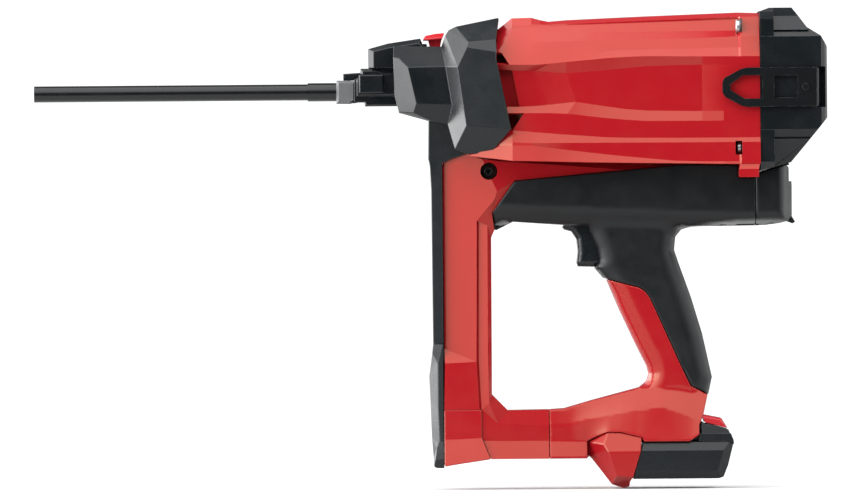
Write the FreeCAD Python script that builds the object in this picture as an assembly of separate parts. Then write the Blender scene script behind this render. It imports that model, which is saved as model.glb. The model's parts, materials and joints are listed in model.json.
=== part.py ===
"""Combustion-driven fastening tool with a long guide tube, for fixing insulation plates.

Row frame, in millimetres: the origin is the centre of the guide tube's mouth, +X runs along the
drive axis towards the back of the tool, +Z is up and the tool is symmetric about y = 0 apart from
its hook. "Left" is the -Y side. Every node is written to parts/NODE.step.
"""

import FreeCAD
import Part
import math
import os

V = FreeCAD.Vector

# ---------------------------------------------------------------- driving dimensions
WALL = 3.0  # moulded housing wall
GAP = 0.25  # assembly gap between neighbouring housings
SLIDE_GAP = 0.4  # gap between parts that move past each other

BARREL_X = (372.0, 580.0)
CAP_BACK_X = 636.0
BARREL_HALF = 54.0  # half width at the shoulder
PANEL_HALF = 50.0  # half width in the recessed side panel
COVER_X = 565.6  # seam between the handle housing and the gas cover
HANDLE_TOP_HALF = 26.0
GRIP_HALF = 17.5
COLUMN_HALF = 20.0
WEDGE_HALF = 22.0
BAR_HALF = 17.0
FOOT_HALF = 30.0

TUBE_R, TUBE_BORE_R = 6.5, 4.45
SEAT_R, SEAT_DEPTH = 4.9, 30.0  # counterbore at the mouth that takes the fastener's shank
PRESS_TRAVEL = 25.0  # the guide is pressed in before the tool can fire
DRIVER_R = 4.1
CYL_X = (392.0, 510.0)
CYL_BORE_R, CYL_R = 22.0, 24.0
PISTON_X = (490.0, 501.0)
PISTON_STROKE = 86.0
GUIDE_R = 9.0
RUN = 0.08  # radial clearance of parts that run on each other
LINK_Y, LINK_R = 27.0, 2.5  # the two rods from the nose to the chamber sleeve
SLEEVE_X, SLEEVE_R, SLEEVE_BORE_R = (473.5, 572.0), 41.0, 38.0
SEAL_RING_R = 37.6
HEAD_X = (602.0, 610.0)
FAN_X = (552.0, 566.0)
FAN_SHAFT_R = 1.6
PLUG_YZ = 20.0  # the spark plug's y and z

CAN_R, CAN_Z, CAN_X = 16.0, -88.8, (404.0, 552.0)
HOOK_PIN = (626.0, -50.0)  # x, y of the hook's upright pin
COVER_PIN = (602.0, -69.0)  # x, z of the gas cover's cross pin
BOLT_Y, BOLT_Z_TOP, BOLT_Z_LOW = 37.0, 47.5, -47.0
BATTERY_SLOT_HALF = 20.0


# ---------------------------------------------------------------- helpers
def prism(points, normal, lo, hi):
    """Closed outline in the plane across `normal`, extruded from lo to hi along it."""
    place = {
        "x": lambda a, b: V(lo, a, b),
        "y": lambda a, b: V(a, lo, b),
        "z": lambda a, b: V(a, b, lo),
    }[normal]
    corners = [place(a, b) for a, b in points]
    step = {"x": V(hi - lo, 0, 0), "y": V(0, hi - lo, 0), "z": V(0, 0, hi - lo)}[normal]
    return Part.Face(Part.makePolygon(corners + corners[:1])).extrude(step)


def box(x0, x1, y0, y1, z0, z1):
    return Part.makeBox(x1 - x0, y1 - y0, z1 - z0, V(x0, y0, z0))


def rod(axis, lo, hi, r, a=0.0, b=0.0):
    """Cylinder along an axis; a and b are its centre in the two other axes, in X, Y, Z order."""
    base, way = {
        "x": (V(lo, a, b), V(1, 0, 0)),
        "y": (V(a, lo, b), V(0, 1, 0)),
        "z": (V(a, b, lo), V(0, 0, 1)),
    }[axis]
    return Part.makeCylinder(r, hi - lo, base, way)


def ring(lo, hi, r_out, r_in, axis="x", a=0.0, b=0.0):
    return rod(axis, lo, hi, r_out, a, b).cut(rod(axis, lo - 1, hi + 1, r_in, a, b))


def fuse(first, *rest):
    return first.multiFuse(list(rest)).removeSplitter()


def cut(shape, *tools):
    return shape.cut(Part.makeCompound(list(tools)))


def inset(points, d):
    """Outline moved inwards by d, corner by corner, with the same number of corners."""
    n = len(points)
    area = sum(points[i][0] * points[(i + 1) % n][1] - points[(i + 1) % n][0] * points[i][1] for i in range(n))
    turn = 1.0 if area > 0 else -1.0
    moved = []
    for i in range(n):
        (ax, ay), (bx, by), (cx, cy) = points[i - 1], points[i], points[(i + 1) % n]
        l1, l2 = math.hypot(bx - ax, by - ay), math.hypot(cx - bx, cy - by)
        n1 = (-(by - ay) / l1 * turn, (bx - ax) / l1 * turn)
        n2 = (-(cy - by) / l2 * turn, (cx - bx) / l2 * turn)
        k = d / (1 + n1[0] * n2[0] + n1[1] * n2[1])
        moved.append((bx + (n1[0] + n2[0]) * k, by + (n1[1] + n2[1]) * k))
    return moved


def pad(outline, half, bevel=0.0, drop=0.0):
    """Side outline made solid across y = 0, its edges bevelled: `drop` inwards over the last `bevel`."""
    if not bevel:
        return prism(outline, "y", -half, half)
    core = prism(outline, "y", bevel - half, half - bevel)
    small = inset(outline, drop)
    sides = []
    for way in (-1, 1):
        wires = [
            Part.makePolygon([V(x, way * y, z) for x, z in line + line[:1]])
            for y, line in ((half - bevel, outline), (half, small))
        ]
        sides.append(Part.makeLoft(wires, True, True))
    return fuse(core, *sides)


def hollow_pad(outline, half, bevel, drop, wall=WALL):
    return cut(pad(outline, half, bevel, drop), pad(inset(outline, wall + drop / 2), half - wall))


def mirrored(half_profile):
    """Closed (y, z) section from its +Y half, listed from the top down."""
    return half_profile + [(-y, z) for y, z in reversed(half_profile) if y > 0]


def side(shape, way):
    """The -Y (way -1) or +Y (way 1) part of a shell, stopping at the parting plane."""
    big = 1500.0
    lo, hi = (-big, -GAP / 5) if way < 0 else (GAP / 5, big)
    return shape.common(box(-big, big, lo, hi, -big, big))


def boss(x, z, half, r=4.2):
    return rod("y", -half, half, r, x, z)


def screw_way(x, z, half, head_depth=5.0):
    """What a housing screw needs cut away: shank from +Y, and a wide mouth for its head."""
    return fuse(rod("y", -half + WALL, half, 2.05, x, z), rod("y", half - head_depth, half + 5, 4.0, x, z))


def screw(x, z, half, head_depth=5.0):
    head = cut(
        rod("y", half - head_depth, half - head_depth + 2.6, 3.7, x, z),
        prism([(x + 1.5 * math.cos(a * math.pi / 3), z + 1.5 * math.sin(a * math.pi / 3)) for a in range(6)],
              "y", half - head_depth + 1.2, half),
    )
    return fuse(rod("y", -half + WALL + 2, half - head_depth, 2.0, x, z), head)


def helix_spring(x0, x1, r, wire_r, turns, y=0.0, z=0.0):
    """Round-wire spring along X, swept along a helix."""
    length = x1 - x0 - 2 * wire_r
    path = Part.makeHelix(length / turns, length, r)
    section = Part.Wire(Part.makeCircle(wire_r, V(r, 0, 0), V(0, 1, 0)))
    coil = Part.Wire(path.Edges).makePipeShell([section], True, True)
    coil.rotate(V(0, 0, 0), V(0, 1, 0), 90)
    coil.translate(V(x0 + wire_r, y, z))
    return coil


def tube_run(points, r):
    """Solid lead along straight runs joined by tangent arcs."""
    edges, at = [], V(*points[0])
    for before, here, after in zip(points, points[1:], points[2:]):
        a, b, c = V(*before), V(*here), V(*after)
        u, w = (b - a).normalize(), (c - b).normalize()
        turn = u.getAngle(w)
        short = min((b - a).Length, (c - b).Length)
        bend = 0.45 * short / math.tan(turn / 2)
        trim = bend * math.tan(turn / 2)
        start, end = b - u * trim, b + w * trim
        inward = (w - u).normalize()
        middle = b + inward * (bend / math.cos(turn / 2) - bend)
        edges += [Part.makeLine(at, start), Part.Arc(start, middle, end).toShape()]
        at = end
    edges.append(Part.makeLine(at, V(*points[-1])))
    section = Part.Wire(Part.makeCircle(r, V(*points[0]), V(*points[1]) - V(*points[0])))
    return Part.Wire(edges).makePipeShell([section], True, False)


# ---------------------------------------------------------------- outlines (x, z) of the housings
BARREL_SIDE = [
    (372, 50), (384, 58), (400, 58.5), (413, 55), (487, 58.7), (575, 62), (580, 61),
    (580, -58), (487, -57.5), (372, -54.2),
]
BARREL_SECTION = mirrored([
    (0, 62), (18, 62), (26, 58), (46, 41), (BARREL_HALF, 25), (PANEL_HALF, 18), (PANEL_HALF, -18),
    (BARREL_HALF, -26), (52, -41), (38, -58), (0, -58),
])
CAP_SIDE = [
    (580, 60.5), (590.5, 64.5), (608.5, 64.5), (621, 48), (631, 41.5), (636, 33),
    (636, -24), (623, -40), (607, -59.5), (594.5, -63), (580, -67),
]
CAP_SECTION = mirrored([(0, 65), (24, 65), (33, 58), (49, 42), (55, 26), (55, -28), (49, -46), (34, -67), (0, -67)])
CAP_PLAN = [(580, -55), (626, -55), (636, -45), (636, 45), (626, 55), (580, 55)]
SHROUD_FRONT_SIDE = [(289, 36.5), (311.5, 42.4), (312.5, 37.0), (318, 35.4), (328, 35.4), (331, 44), (340, 44),
                     (345, -27), (332, -27), (319, -24), (293, -17), (289.5, -3)]
SHROUD_FRONT_SECTION = mirrored([(0, 44), (18, 44), (36, 19), (37, -11), (29, -27), (0, -27)])
SHROUD_FRONT_PLAN = [(289, -26), (299, -35.5), (345, -37), (345, 37), (299, 35.5), (289, 26)]
SHROUD_REAR_SIDE = [(331, 42), (334, 48.5), (340, 51.5), (373.5, 58.3), (371.3, 25.5), (383, -31.7),
                    (366.5, -51), (347, -50.8), (338, -47), (332.4, -27)]
SHROUD_REAR_SECTION = mirrored([(0, 60), (24, 60), (50, 38), (59, 22), (59, -30), (44, -51), (0, -51)])
SHROUD_REAR_PLAN = [(331, -33), (348, -53), (384, -59), (384, 59), (348, 53), (331, 33)]
FRAME_SIDE = [
    (328, -57), (336, -53.8), (343, -51.8), (362, -54.9), (400, -56.1), (394, -70.7), (378.3, -76.6), (367.2, -98.3),
    (369.2, -112), (366.6, -118), (366.3, -244), (378.8, -256.8), (411.8, -256.4), (411.8, -295.8), (365.2, -295.8),
    (358.2, -278.4), (358.2, -256), (328, -256),
]
WEDGE_SIDE = [(385, -50), (526, -58), (526, -60.7), (502, -61.8), (466, -64.8), (418, -69.3), (385, -71.4)]
COLUMN_FOOT_SIDE = [(328, -256.3), (357.9, -256.3), (357.9, -278.5), (364.9, -295.8), (340, -299.5), (328, -301.5)]
HANDLE_TOP_SIDE = [
    (367.6, -98.3), (378.6, -76.9), (394, -71), (418, -69.6), (466, -65.1), (502, -62.1), (534, -60.5),
    (COVER_X - 0.2, -60.4), (COVER_X - 0.2, -107.5), (525, -111), (480, -113), (440, -109.4), (376, -106.4),
    (369.6, -111.5),
]
GRIP_SIDE = [
    (440, -100), (527, -100), (526, -110.8), (518.5, -113), (513.5, -119), (512.2, -129), (515, -138.7),
    (525, -167.6), (533, -196.4), (540.6, -229.3), (538, -243.7), (526.2, -238), (520, -225.1), (502.7, -186.6),
    (494, -167.3), (485.2, -158.6), (456.4, -151.1), (449.3, -143), (453.3, -136.6), (451.8, -128.6),
    (447, -116.6),
]
FOOT_SIDE = [
    (412.2, -256.4), (424.4, -255.6), (446, -249.4), (484.5, -239.3), (490.5, -234), (492.2, -228.5), (490.8, -222.5),
    (482.4, -205.6), (469, -176.7), (458.8, -152), (485, -158.9), (493.8, -167.6), (502.4, -186.9),
    (519.7, -225.4), (525.9, -238.3), (537.6, -244), (534.6, -261.2), (532.3, -269.7), (532.2, -277.5),
    (524.2, -282.6), (487.8, -282.6), (486.5, -279.2), (469, -274.8), (458.7, -274.8), (448.3, -279),
    (442.6, -282), (442.6, -295.8), (412.2, -295.8),
]
GUARD_SIDE = [
    (443, -282.2), (458.7, -275.1), (469, -275.1), (486, -279.4), (478, -312), (476.5, -318.8), (471, -319.8),
    (462, -316.8), (446.5, -296.6), (443, -293),
]
BATTERY_SIDE = [
    (487.6, -283.2), (533.4, -283.2), (533.6, -268.2), (537.4, -262.7), (550.3, -264.8), (555.3, -270.4), (557.4, -279),
    (559.8, -281.5), (554.4, -303), (548.2, -312.6), (479.4, -312.6),
]
COVER_SIDE = [
    (COVER_X + 0.2, -72), (579.5, -71.2), (605.9, -64.4), (607.3, -78), (607.2, -101.8), (604, -106), (597.6, -107.3),
    (COVER_X + 0.2, -107.5),
]
TRIGGER_SIDE = [
    (423.5, -110.5), (432.2, -114.8), (435.6, -120.5), (435, -130), (433.3, -138), (434.4, -143),
    (438.9, -144.6), (449, -144.6), (455, -141), (464, -136), (464, -111.2),
]
TRIGGER_TRAVEL = 7.0

# screws that join the left and right housings: x, z, half width where the head sits
BARREL_SCREWS = [(410, 49.5, 37.5), (538, 50.5, 37.0), (410, -50.0, 45.5), (520, -50.5, 45.5)]
FRAME_SCREWS = [(347, -84, COLUMN_HALF), (347, -165, COLUMN_HALF), (347, -240, COLUMN_HALF), (396, -276, COLUMN_HALF)]
HANDLE_SCREWS = [(541, -66, HANDLE_TOP_HALF), (504, -121, GRIP_HALF), (530, -221, GRIP_HALF)]
FOOT_SCREWS = [(428, -275, BAR_HALF), (478, -256, BAR_HALF)]
CROSS_BOLT = (365.1, -64.7)  # the one screw that shows on both sides


# ---------------------------------------------------------------- barrel and rear cap
def barrel_shells():
    outer = prism(BARREL_SIDE, "y", -80, 80).common(prism(BARREL_SECTION, "x", 300, 600))
    inner_side = [(x, z - math.copysign(WALL, z)) for x, z in BARREL_SIDE]
    inner_side = [(x - 9 if x < 373 else x + 9 if x > 579 else x, z) for x, z in inner_side]
    inner = prism(inner_side, "y", -80, 80).common(prism(inset(BARREL_SECTION, WALL), "x", 300, 600))
    bolt_spots = [(sy * BOLT_Y, z) for sy in (-1, 1) for z in (BOLT_Z_TOP, BOLT_Z_LOW)]
    bosses = [rod("x", 545, 580, 8.0, y, z).common(outer) for y, z in bolt_spots]
    front_rib = cut(
        inner.common(box(393, 397, -80, 80, -80, 80)),
        rod("x", 390, 400, CYL_R + 0.2),
        *[rod("x", 390, 400, 3.4, sy * LINK_Y, 0) for sy in (-1, 1)],
    )
    rear_rib = cut(inner.common(box(536, 540, -80, 80, -80, 80)), rod("x", 530, 545, SLEEVE_R + 1.2))
    lugs = [boss(x, z, 60, 6.0).common(outer) for x, z, half in BARREL_SCREWS]
    tabs = [box(565.2, 578.6, *sorted((sy * 26.6, sy * 38)), -71, -56) for sy in (-1, 1)]
    whole = fuse(cut(outer, inner), *bosses, front_rib, rear_rib, *lugs, *tabs)
    vents = [
        prism([(365, 36), (376, 34), (385.5, 24.5), (365, 24.5)], "y", -80, 80),
        prism([(365, 17), (388.5, 17), (393.5, -11), (365, -11)], "y", -80, 80),
        prism([(365, -19), (397, -19), (398.5, -23.5), (389.5, -33), (365, -33)], "y", -80, 80),
    ]
    ways = [rod("x", 555, 568.5, 5.4, y, z) for y, z in bolt_spots]
    ways += [box(555, 568.5, *sorted((y, y + math.copysign(30, y))), z - 4.6, z + 4.6) for y, z in bolt_spots]
    shanks = [rod("x", 560, 590, 2.6, y, z) for y, z in bolt_spots]
    whole = cut(whole, *vents, *ways, *shanks, *[screw_way(*spot) for spot in BARREL_SCREWS])
    return side(whole, -1), side(whole, 1)


def cap_body(side_line, section, plan, x_front):
    return (
        prism(side_line, "y", -80, 80)
        .common(prism(section, "x", x_front, 660))
        .common(prism(plan, "z", -90, 90))
    )


def rear_cap():
    outer = cap_body(CAP_SIDE, CAP_SECTION, CAP_PLAN, 580 + GAP)
    inner_side = [(x - 8 if x < 586 else x, z) for x, z in inset(CAP_SIDE, 3.4)]
    inner_plan = [(x - 8 if x < 586 else x, y) for x, y in inset(CAP_PLAN, 3.4)]
    inner = cap_body(inner_side, inset(CAP_SECTION, 3.4), inner_plan, 570)
    spots = [(sy * BOLT_Y, z) for sy in (-1, 1) for z in (BOLT_Z_TOP, BOLT_Z_LOW)]
    bosses = [rod("x", 580 + GAP, 606, 6.5, y, z).common(outer) for y, z in spots]
    plate = cut(inner.common(box(610.3, 613.3, -80, 80, -80, 80)), rod("x", 605, 620, 14.5),
                rod("x", 605, 620, 6.0, PLUG_YZ, PLUG_YZ))
    px, py = HOOK_PIN
    knuckle_block = box(618, 634, -54.5, -42, -20, 21).common(outer)
    cover_lugs = [
        fuse(
            box(598, 605.5, *sorted((sy * 10, sy * 14)), COVER_PIN[1], -57),
            rod("y", *sorted((sy * 10, sy * 14)), 3.6, *COVER_PIN),
        )
        for sy in (-1, 1)
    ]
    whole = fuse(cut(outer, inner), *bosses, plate, knuckle_block, *cover_lugs)
    louvres = [box(630, 640, -28, 28, z, z + 4.5) for z in (-17, -8, 1, 10, 19)]
    return cut(
        whole,
        *louvres,
        *[rod("x", 575, 603, 2.3, y, z) for y, z in spots],
        box(620.8, 634.6, -70, -44.2, -15.8, 16.8),
        rod("z", -18.5, 19.5, 2.05, px, py),
        rod("y", -20, 20, 1.55, *COVER_PIN),
    )


def cap_bolts():
    made = []
    for sy in (-1, 1):
        for z in (BOLT_Z_TOP, BOLT_Z_LOW):
            y = sy * BOLT_Y
            socket = prism([(y + 2.2 * math.cos(a * math.pi / 3), z + 2.2 * math.sin(a * math.pi / 3))
                            for a in range(6)], "x", 560, 565.8)
            head = cut(rod("x", 563.5, 568.5, 4.4, y, z), socket)
            made.append(fuse(head, rod("x", 568.5, 602, 2.25, y, z)))
    return Part.makeCompound(made)


def air_filter():
    """Foam pad behind the louvres."""
    return box(626.5, 632.0, -30, 30, -19, 26)


# ---------------------------------------------------------------- hook
def hook():
    px, py = HOOK_PIN
    outline = [(552, 4.5), (553.5, 8), (567.5, 15.4), (571.5, 16.2), (px + 1.4, 16.2), (px + 1.4, -15.2),
               (571, -15.2), (567.5, -14.4), (554, -7), (552, -3.5)]
    window = [(558.5, 3), (568.5, 10), (584, 10), (584, -8.6), (569.5, -8.6), (558.5, -1.6)]
    second = [(593.5, 9.6), (612, 9.6), (612, -8), (593.5, -8)]
    plate = cut(prism(outline, "y", -58.4, -55.8), prism(window, "y", -70, -50), prism(second, "y", -70, -50))
    leg = box(px - 1.4, px + 1.4, -58.4, py, -15.2, 16.2)
    knuckle = rod("z", -15.2, 16.2, 4.0, px, py)
    rivet = rod("y", -59.2, -58.4, 2.6, 618.5, 0.5)
    return cut(fuse(plate, leg, knuckle, rivet), rod("z", -30, 30, 2.1, px, py))


def hook_pin():
    px, py = HOOK_PIN
    return rod("z", -18.3, 19.3, 2.0, px, py)


# ---------------------------------------------------------------- nose
def shroud_front(grow=0.0, x_front=None):
    plan = inset(SHROUD_FRONT_PLAN, grow)
    line = inset(SHROUD_FRONT_SIDE, grow)
    if x_front is not None:
        plan = [(x_front if x < 294 else 360 if x > 340 else x, y) for x, y in plan]
        line = [(x_front if x < 293 else 360 if x > 337 else x, z) for x, z in line]
    return (
        prism(line, "y", -80, 80)
        .common(prism(inset(SHROUD_FRONT_SECTION, grow), "x", 250, 400))
        .common(prism(plan, "z", -90, 90))
    )


def shroud_rear(grow=0.0, open_ends=False):
    plan, line = inset(SHROUD_REAR_PLAN, grow), inset(SHROUD_REAR_SIDE, grow)
    if open_ends:
        plan = [(400 if x > 375 else x, y) for x, y in plan]
        line = [(400 if x > 365 and z > -40 else x, z) for x, z in line]
    return (
        prism(line, "y", -80, 80)
        .common(prism(inset(SHROUD_REAR_SECTION, grow), "x", 250, 420))
        .common(prism(plan, "z", -90, 90))
    )


def shroud_shells():
    """Faceted front housing. The guide block slides inside its open front."""
    outer = fuse(shroud_front(), shroud_rear())
    throat = box(328, 348, -31, 31, -21, 30)
    mouth = box(280, 296, -18.5, 18.5, -13.5, 26)
    frame_room = frame_keepout()
    barrel_front = prism(BARREL_SIDE, "y", -80, 80).common(prism(inset(BARREL_SECTION, -GAP), "x", 300, 600))
    whole = cut(
        outer, shroud_front(WALL, 285.0), shroud_rear(WALL, True), throat, mouth, barrel_front, frame_room,
        rod("y", -80, 80, 7.4, *CROSS_BOLT), core_room(), strip_room(), box(315, 329, -8, 8, 24, 40),
    )
    return side(whole, -1), side(whole, 1)


CORE_SIDE = [(268.4, 20.2), (268.4, 34.1), (285, 38.4), (311, 41.6), (312.2, 34.8), (333, 34.8), (333, 20.2)]


def core_room():
    return pad(inset(CORE_SIDE, -GAP), 14 + GAP).common(box(260, 331, -80, 80, -80, 80))


def nose_core():
    """Hood over the guide block; its slot holds the release button."""
    body = pad(CORE_SIDE, 14, 2.0, 2.0)
    return cut(body, box(315, 329, -8, 8, 24, 60), box(275, 312, -11, 11, 15, 33))


def top_latch():
    """Release button that bridges the slot between hood and shroud."""
    line = [(313.4, 39.9), (313.4, 43), (316, 45.6), (330, 46), (329.6, 44.2), (328, 39.6), (327.5, 38.5), (317, 38.5)]
    bridge = prism(line, "y", -12, 12)
    return fuse(bridge, box(316, 328, -7, 7, 28, 40))


def front_rail_side():
    return [(317, -28), (327.7, -28), (327.7, -256), (319.2, -256), (318.6, -80), (317.6, -60), (316.4, -54)]


def strip_room():
    return pad(inset(front_rail_side(), -GAP), 15 + GAP)


def front_rail():
    """Hard strip down the front of the column."""
    return cut(pad(front_rail_side(), 15, 3.0, 2.0), box(320.5, 326, -12.5, 12.5, -250, -34))


def front_bumper():
    """Bulged rubber toe at the strip's lower end, wrapped round the column foot."""
    line = [(327.7, -256.3), (319, -256.3), (316.6, -268), (317.8, -288), (319, -297), (323, -302), (327.7, -302)]
    return pad(line, 19, 4.0, 2.5)


def front_wear_pad():
    """Bulged pad on the lower half of the strip."""
    line = [(319.0, -203), (317.2, -212), (315.6, -228), (315.6, -244), (316.3, -255.9), (318.9, -255.9)]
    return pad(line, 12, 2.5, 0.5)


def nose_guide():
    """Fixed steel guide for the driver, flanged to the cylinder."""
    body = fuse(rod("x", 290, 384, GUIDE_R), rod("x", 376, 384, 22.2), rod("x", 350, 354, 13.0))
    holes = [rod("x", 370, 390, 2.2, 18 * math.cos(a), 18 * math.sin(a)) for a in (math.pi / 4 * k for k in (1, 3, 5, 7))]
    return cut(body, rod("x", 280, 395, DRIVER_R + RUN), *holes)


def guide_screws():
    spots = [math.pi / 4 * k for k in (1, 3, 5, 7)]
    made = []
    for a in spots:
        y, z = 18 * math.cos(a), 18 * math.sin(a)
        made.append(fuse(rod("x", 376, 390.5, 2.1, y, z), rod("x", 372.5, 376, 3.6, y, z)))
    return Part.makeCompound(made)


# ---------------------------------------------------------------- guide that is pressed against the work
def guide_tube():
    return cut(rod("x", 0, 262, TUBE_R), rod("x", -1, 263, TUBE_BORE_R), rod("x", -1, SEAT_DEPTH, SEAT_R))


def tube_sleeve():
    return ring(220, 243, 7.4, TUBE_R)


def tube_collar():
    body = pad([(243, -9.4), (243, 9.2), (252, 9.2), (258.7, 8.4), (258.7, -8.2), (254, -9.6)], 10, 3.0, 2.0)
    return cut(body, rod("x", 240, 262, TUBE_R))


def carrier_block():
    """Block that carries the tube and telescopes over the fixed guide."""
    block = pad([(259, -4), (259, 9.6), (262.6, 14), (262.6, 18.2), (275, 18.2), (283, 16), (300, 16), (300, -4)],
                14, 2.5, 2.0)
    keel = pad([(264.5, -2), (266, -11.6), (300, -11.6), (300, -2)], 11, 1.5, 1.2)
    tab = pad([(248.5, 11), (248.5, 14.6), (264, 15.5), (264, 11)], 5, 1.0, 0.8)
    pocket = box(260.6, 281.6, -20, -11.6, -2, 14.2)
    return cut(fuse(block, keel, tab), rod("x", 255, 263, TUBE_R), rod("x", 258, 301, TUBE_BORE_R),
               rod("x", 263, 301, GUIDE_R + RUN), pocket)


def lock_button():
    """Square button on the side of the block that frees the tube."""
    return pad([(261.3, -1.4), (261.3, 13.6), (281, 13.6), (281, -1.4)], 2.0, 1.2, 1.0).translated(V(0, -16.0, 0))


def link_yoke():
    """Cross plate behind the block, with two rods back to the chamber sleeve."""
    hub = rod("x", 300.2, 304.4, 12.0)
    arms = [box(300.2, 304.4, *sorted((sy * 8, sy * LINK_Y)), -3.6, 3.6) for sy in (-1, 1)]
    ends = [rod("x", 300.2, 304.4, 3.6, sy * LINK_Y, 0) for sy in (-1, 1)]
    rods = [rod("x", 300.2, SLEEVE_X[0] - 3.5, LINK_R, sy * LINK_Y, 0) for sy in (-1, 1)]
    return cut(fuse(hub, *arms, *ends, *rods), rod("x", 295, 310, GUIDE_R + 0.4))


def chamber_sleeve():
    """Moving wall of the combustion chamber; it closes against the head when the guide is pressed."""
    front = cut(rod("x", SLEEVE_X[0] - 3.5, SLEEVE_X[0], SLEEVE_R), rod("x", 460, 480, CYL_R + SLIDE_GAP))
    wall = ring(SLEEVE_X[0], SLEEVE_X[1], SLEEVE_R, SLEEVE_BORE_R)
    ports = [box(482, 490, -60, 60, -6, 6), box(482, 490, -6, 6, -60, 60)]
    return cut(fuse(front, wall), *ports)


def probe_springs():
    return [helix_spring(304.8, 383.6, 3.8, 0.65, 13, sy * LINK_Y, 0) for sy in (-1, 1)]


# ---------------------------------------------------------------- drive
def cylinder():
    link_ways = [rod("x", 380, 440, LINK_R + 0.4, sy * LINK_Y, 0) for sy in (-1, 1)]
    body = fuse(rod("x", 384, 392, 34.0), rod("x", 392, CYL_X[1], CYL_R), rod("x", 500, CYL_X[1], SEAL_RING_R))
    fins = [rod("x", x, x + 2, CYL_R + 3.0) for x in (404, 412, 420, 428)]
    body = cut(fuse(body, *fins), *link_ways)
    ports = [rod("z", -40, 40, 3.0, x, 0) for x in (440, 452)]
    groove = ring(503.5, 506.5, SEAL_RING_R + 1, 36.0)
    taps = [rod("x", 383, 391, 2.15, 18 * math.cos(a), 18 * math.sin(a)) for a in (math.pi / 4 * k for k in (1, 3, 5, 7))]
    return cut(body, rod("x", 392, 520, CYL_BORE_R), rod("x", 380, 400, DRIVER_R + 0.4), *ports, groove, *taps)


def seal_rings():
    return Part.makeCompound([ring(x, x + 2.6, SLEEVE_BORE_R - RUN, 36.1) for x in (503.7, 593.7)])


def buffer():
    """Rubber stop for the piston."""
    body = cut(rod("x", 392.2, 399.5, CYL_BORE_R - 0.3), rod("x", 390, 410, 6.0))
    return body.cut(ring(394.5, 397, CYL_BORE_R + 1, CYL_BORE_R - 2.2))


RING_X = (491.6, 496.4)


def piston():
    a, b = PISTON_X
    body = fuse(rod("x", a, b, CYL_BORE_R - 0.35), rod("x", a - 4, a, 9.0))
    grooves = [ring(x - 0.1, x + 2.1, 30, 20.4) for x in RING_X]
    return cut(body, *grooves, rod("x", a - 9, a + 4, DRIVER_R))


def piston_rings():
    return Part.makeCompound([ring(x, x + 2.0, CYL_BORE_R - RUN, 20.45) for x in RING_X])


def driver_rod():
    return rod("x", PISTON_STROKE, PISTON_X[0] + 4, DRIVER_R)


def cylinder_head():
    body = fuse(rod("x", *HEAD_X, 46.0), ring(590, 602, SEAL_RING_R, 33.0))
    groove = ring(593.5, 596.5, SEAL_RING_R + 1, 36.0)
    inlet = rod("x", 595, 615, 2.2, 0, -26)
    return cut(body, groove, rod("x", 595, 615, 3.0), rod("x", 595, 615, 5.05, PLUG_YZ, PLUG_YZ), inlet)


def spark_plug():
    y = z = PLUG_YZ
    return fuse(rod("x", 601, 612, 5.0, y, z), rod("x", 612, 620, 3.2, y, z), rod("x", 592, 601, 1.2, y, z),
                rod("x", 613.5, 616, 4.4, y, z))


def fan_motor():
    return cut(fuse(rod("x", 610.2, 626, 13.0), rod("x", 606, 611, 2.8)), rod("x", 600, 616, FAN_SHAFT_R + RUN))


def fan():
    """Four-bladed fan and its shaft, on the drive axis."""
    hub = rod("x", *FAN_X, 6.0)
    blades = []
    for k in range(4):
        blade = box(FAN_X[0] + 4, FAN_X[1] - 8, -5.5, 5.5, 5, 27)
        blade.rotate(V(sum(FAN_X) / 2, 0, 0), V(0, 0, 1), 28)
        blade.rotate(V(0, 0, 0), V(1, 0, 0), 90 * k)
        blades.append(blade)
    return fuse(hub, *blades, rod("x", FAN_X[1], 615.0, FAN_SHAFT_R))


# ---------------------------------------------------------------- gas supply
def gas_can():
    return fuse(
        rod("x", *CAN_X, CAN_R, 0, CAN_Z),
        Part.makeCone(9.0, CAN_R, 9.0, V(CAN_X[0] - 9, 0, CAN_Z), V(1, 0, 0)),
        rod("x", CAN_X[0] - 13, CAN_X[0] - 9, 9.0, 0, CAN_Z),
        rod("x", CAN_X[0] - 17, CAN_X[0] - 13, 1.6, 0, CAN_Z),
        rod("x", CAN_X[1], CAN_X[1] + 2, CAN_R - 2, 0, CAN_Z),
    )


def metering_valve():
    body = fuse(box(383.0, CAN_X[0] - 13.3, -9, 9, CAN_Z - 10, CAN_Z + 8), rod("x", 386, CAN_X[0] - 13.3, 9.0, 0, CAN_Z))
    return cut(body, rod("x", CAN_X[0] - 17.2, CAN_X[0] - 12, 1.75, 0, CAN_Z))


# ---------------------------------------------------------------- handle, frame, foot
def frame_shells():
    """Column, lower bar and the wedge under the barrel, as one clamshell pair."""
    bosses = [boss(x, z, half - 0.5) for x, z, half in FRAME_SCREWS]
    outer = pad(FRAME_SIDE, COLUMN_HALF, 4.0, 2.5)
    bosses.append(rod("y", -COLUMN_HALF, COLUMN_HALF, 9.0, *CROSS_BOLT))
    wedge = prism(WEDGE_SIDE, "y", -WEDGE_HALF, WEDGE_HALF)
    whole = fuse(hollow_pad(FRAME_SIDE, COLUMN_HALF, 4.0, 2.5), *[b.common(outer) for b in bosses], wedge)
    recess = [rod("y", *sorted((sy * 12, sy * 30)), 6.6, *CROSS_BOLT) for sy in (-1, 1)]
    can_room = rod("x", 380, 570, CAN_R + 1.5, 0, CAN_Z)
    whole = cut(whole, *recess, rod("y", -30, 30, 2.6, *CROSS_BOLT),
                *[screw_way(*spot) for spot in FRAME_SCREWS], barrel_keepout(), strip_room(), can_room)
    return side(whole, -1), side(whole, 1)


def frame_keepout():
    return fuse(prism(inset(FRAME_SIDE, -GAP), "y", -COLUMN_HALF - GAP, COLUMN_HALF + GAP),
                prism(inset(WEDGE_SIDE, -GAP), "y", -WEDGE_HALF - GAP, WEDGE_HALF + GAP))


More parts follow.
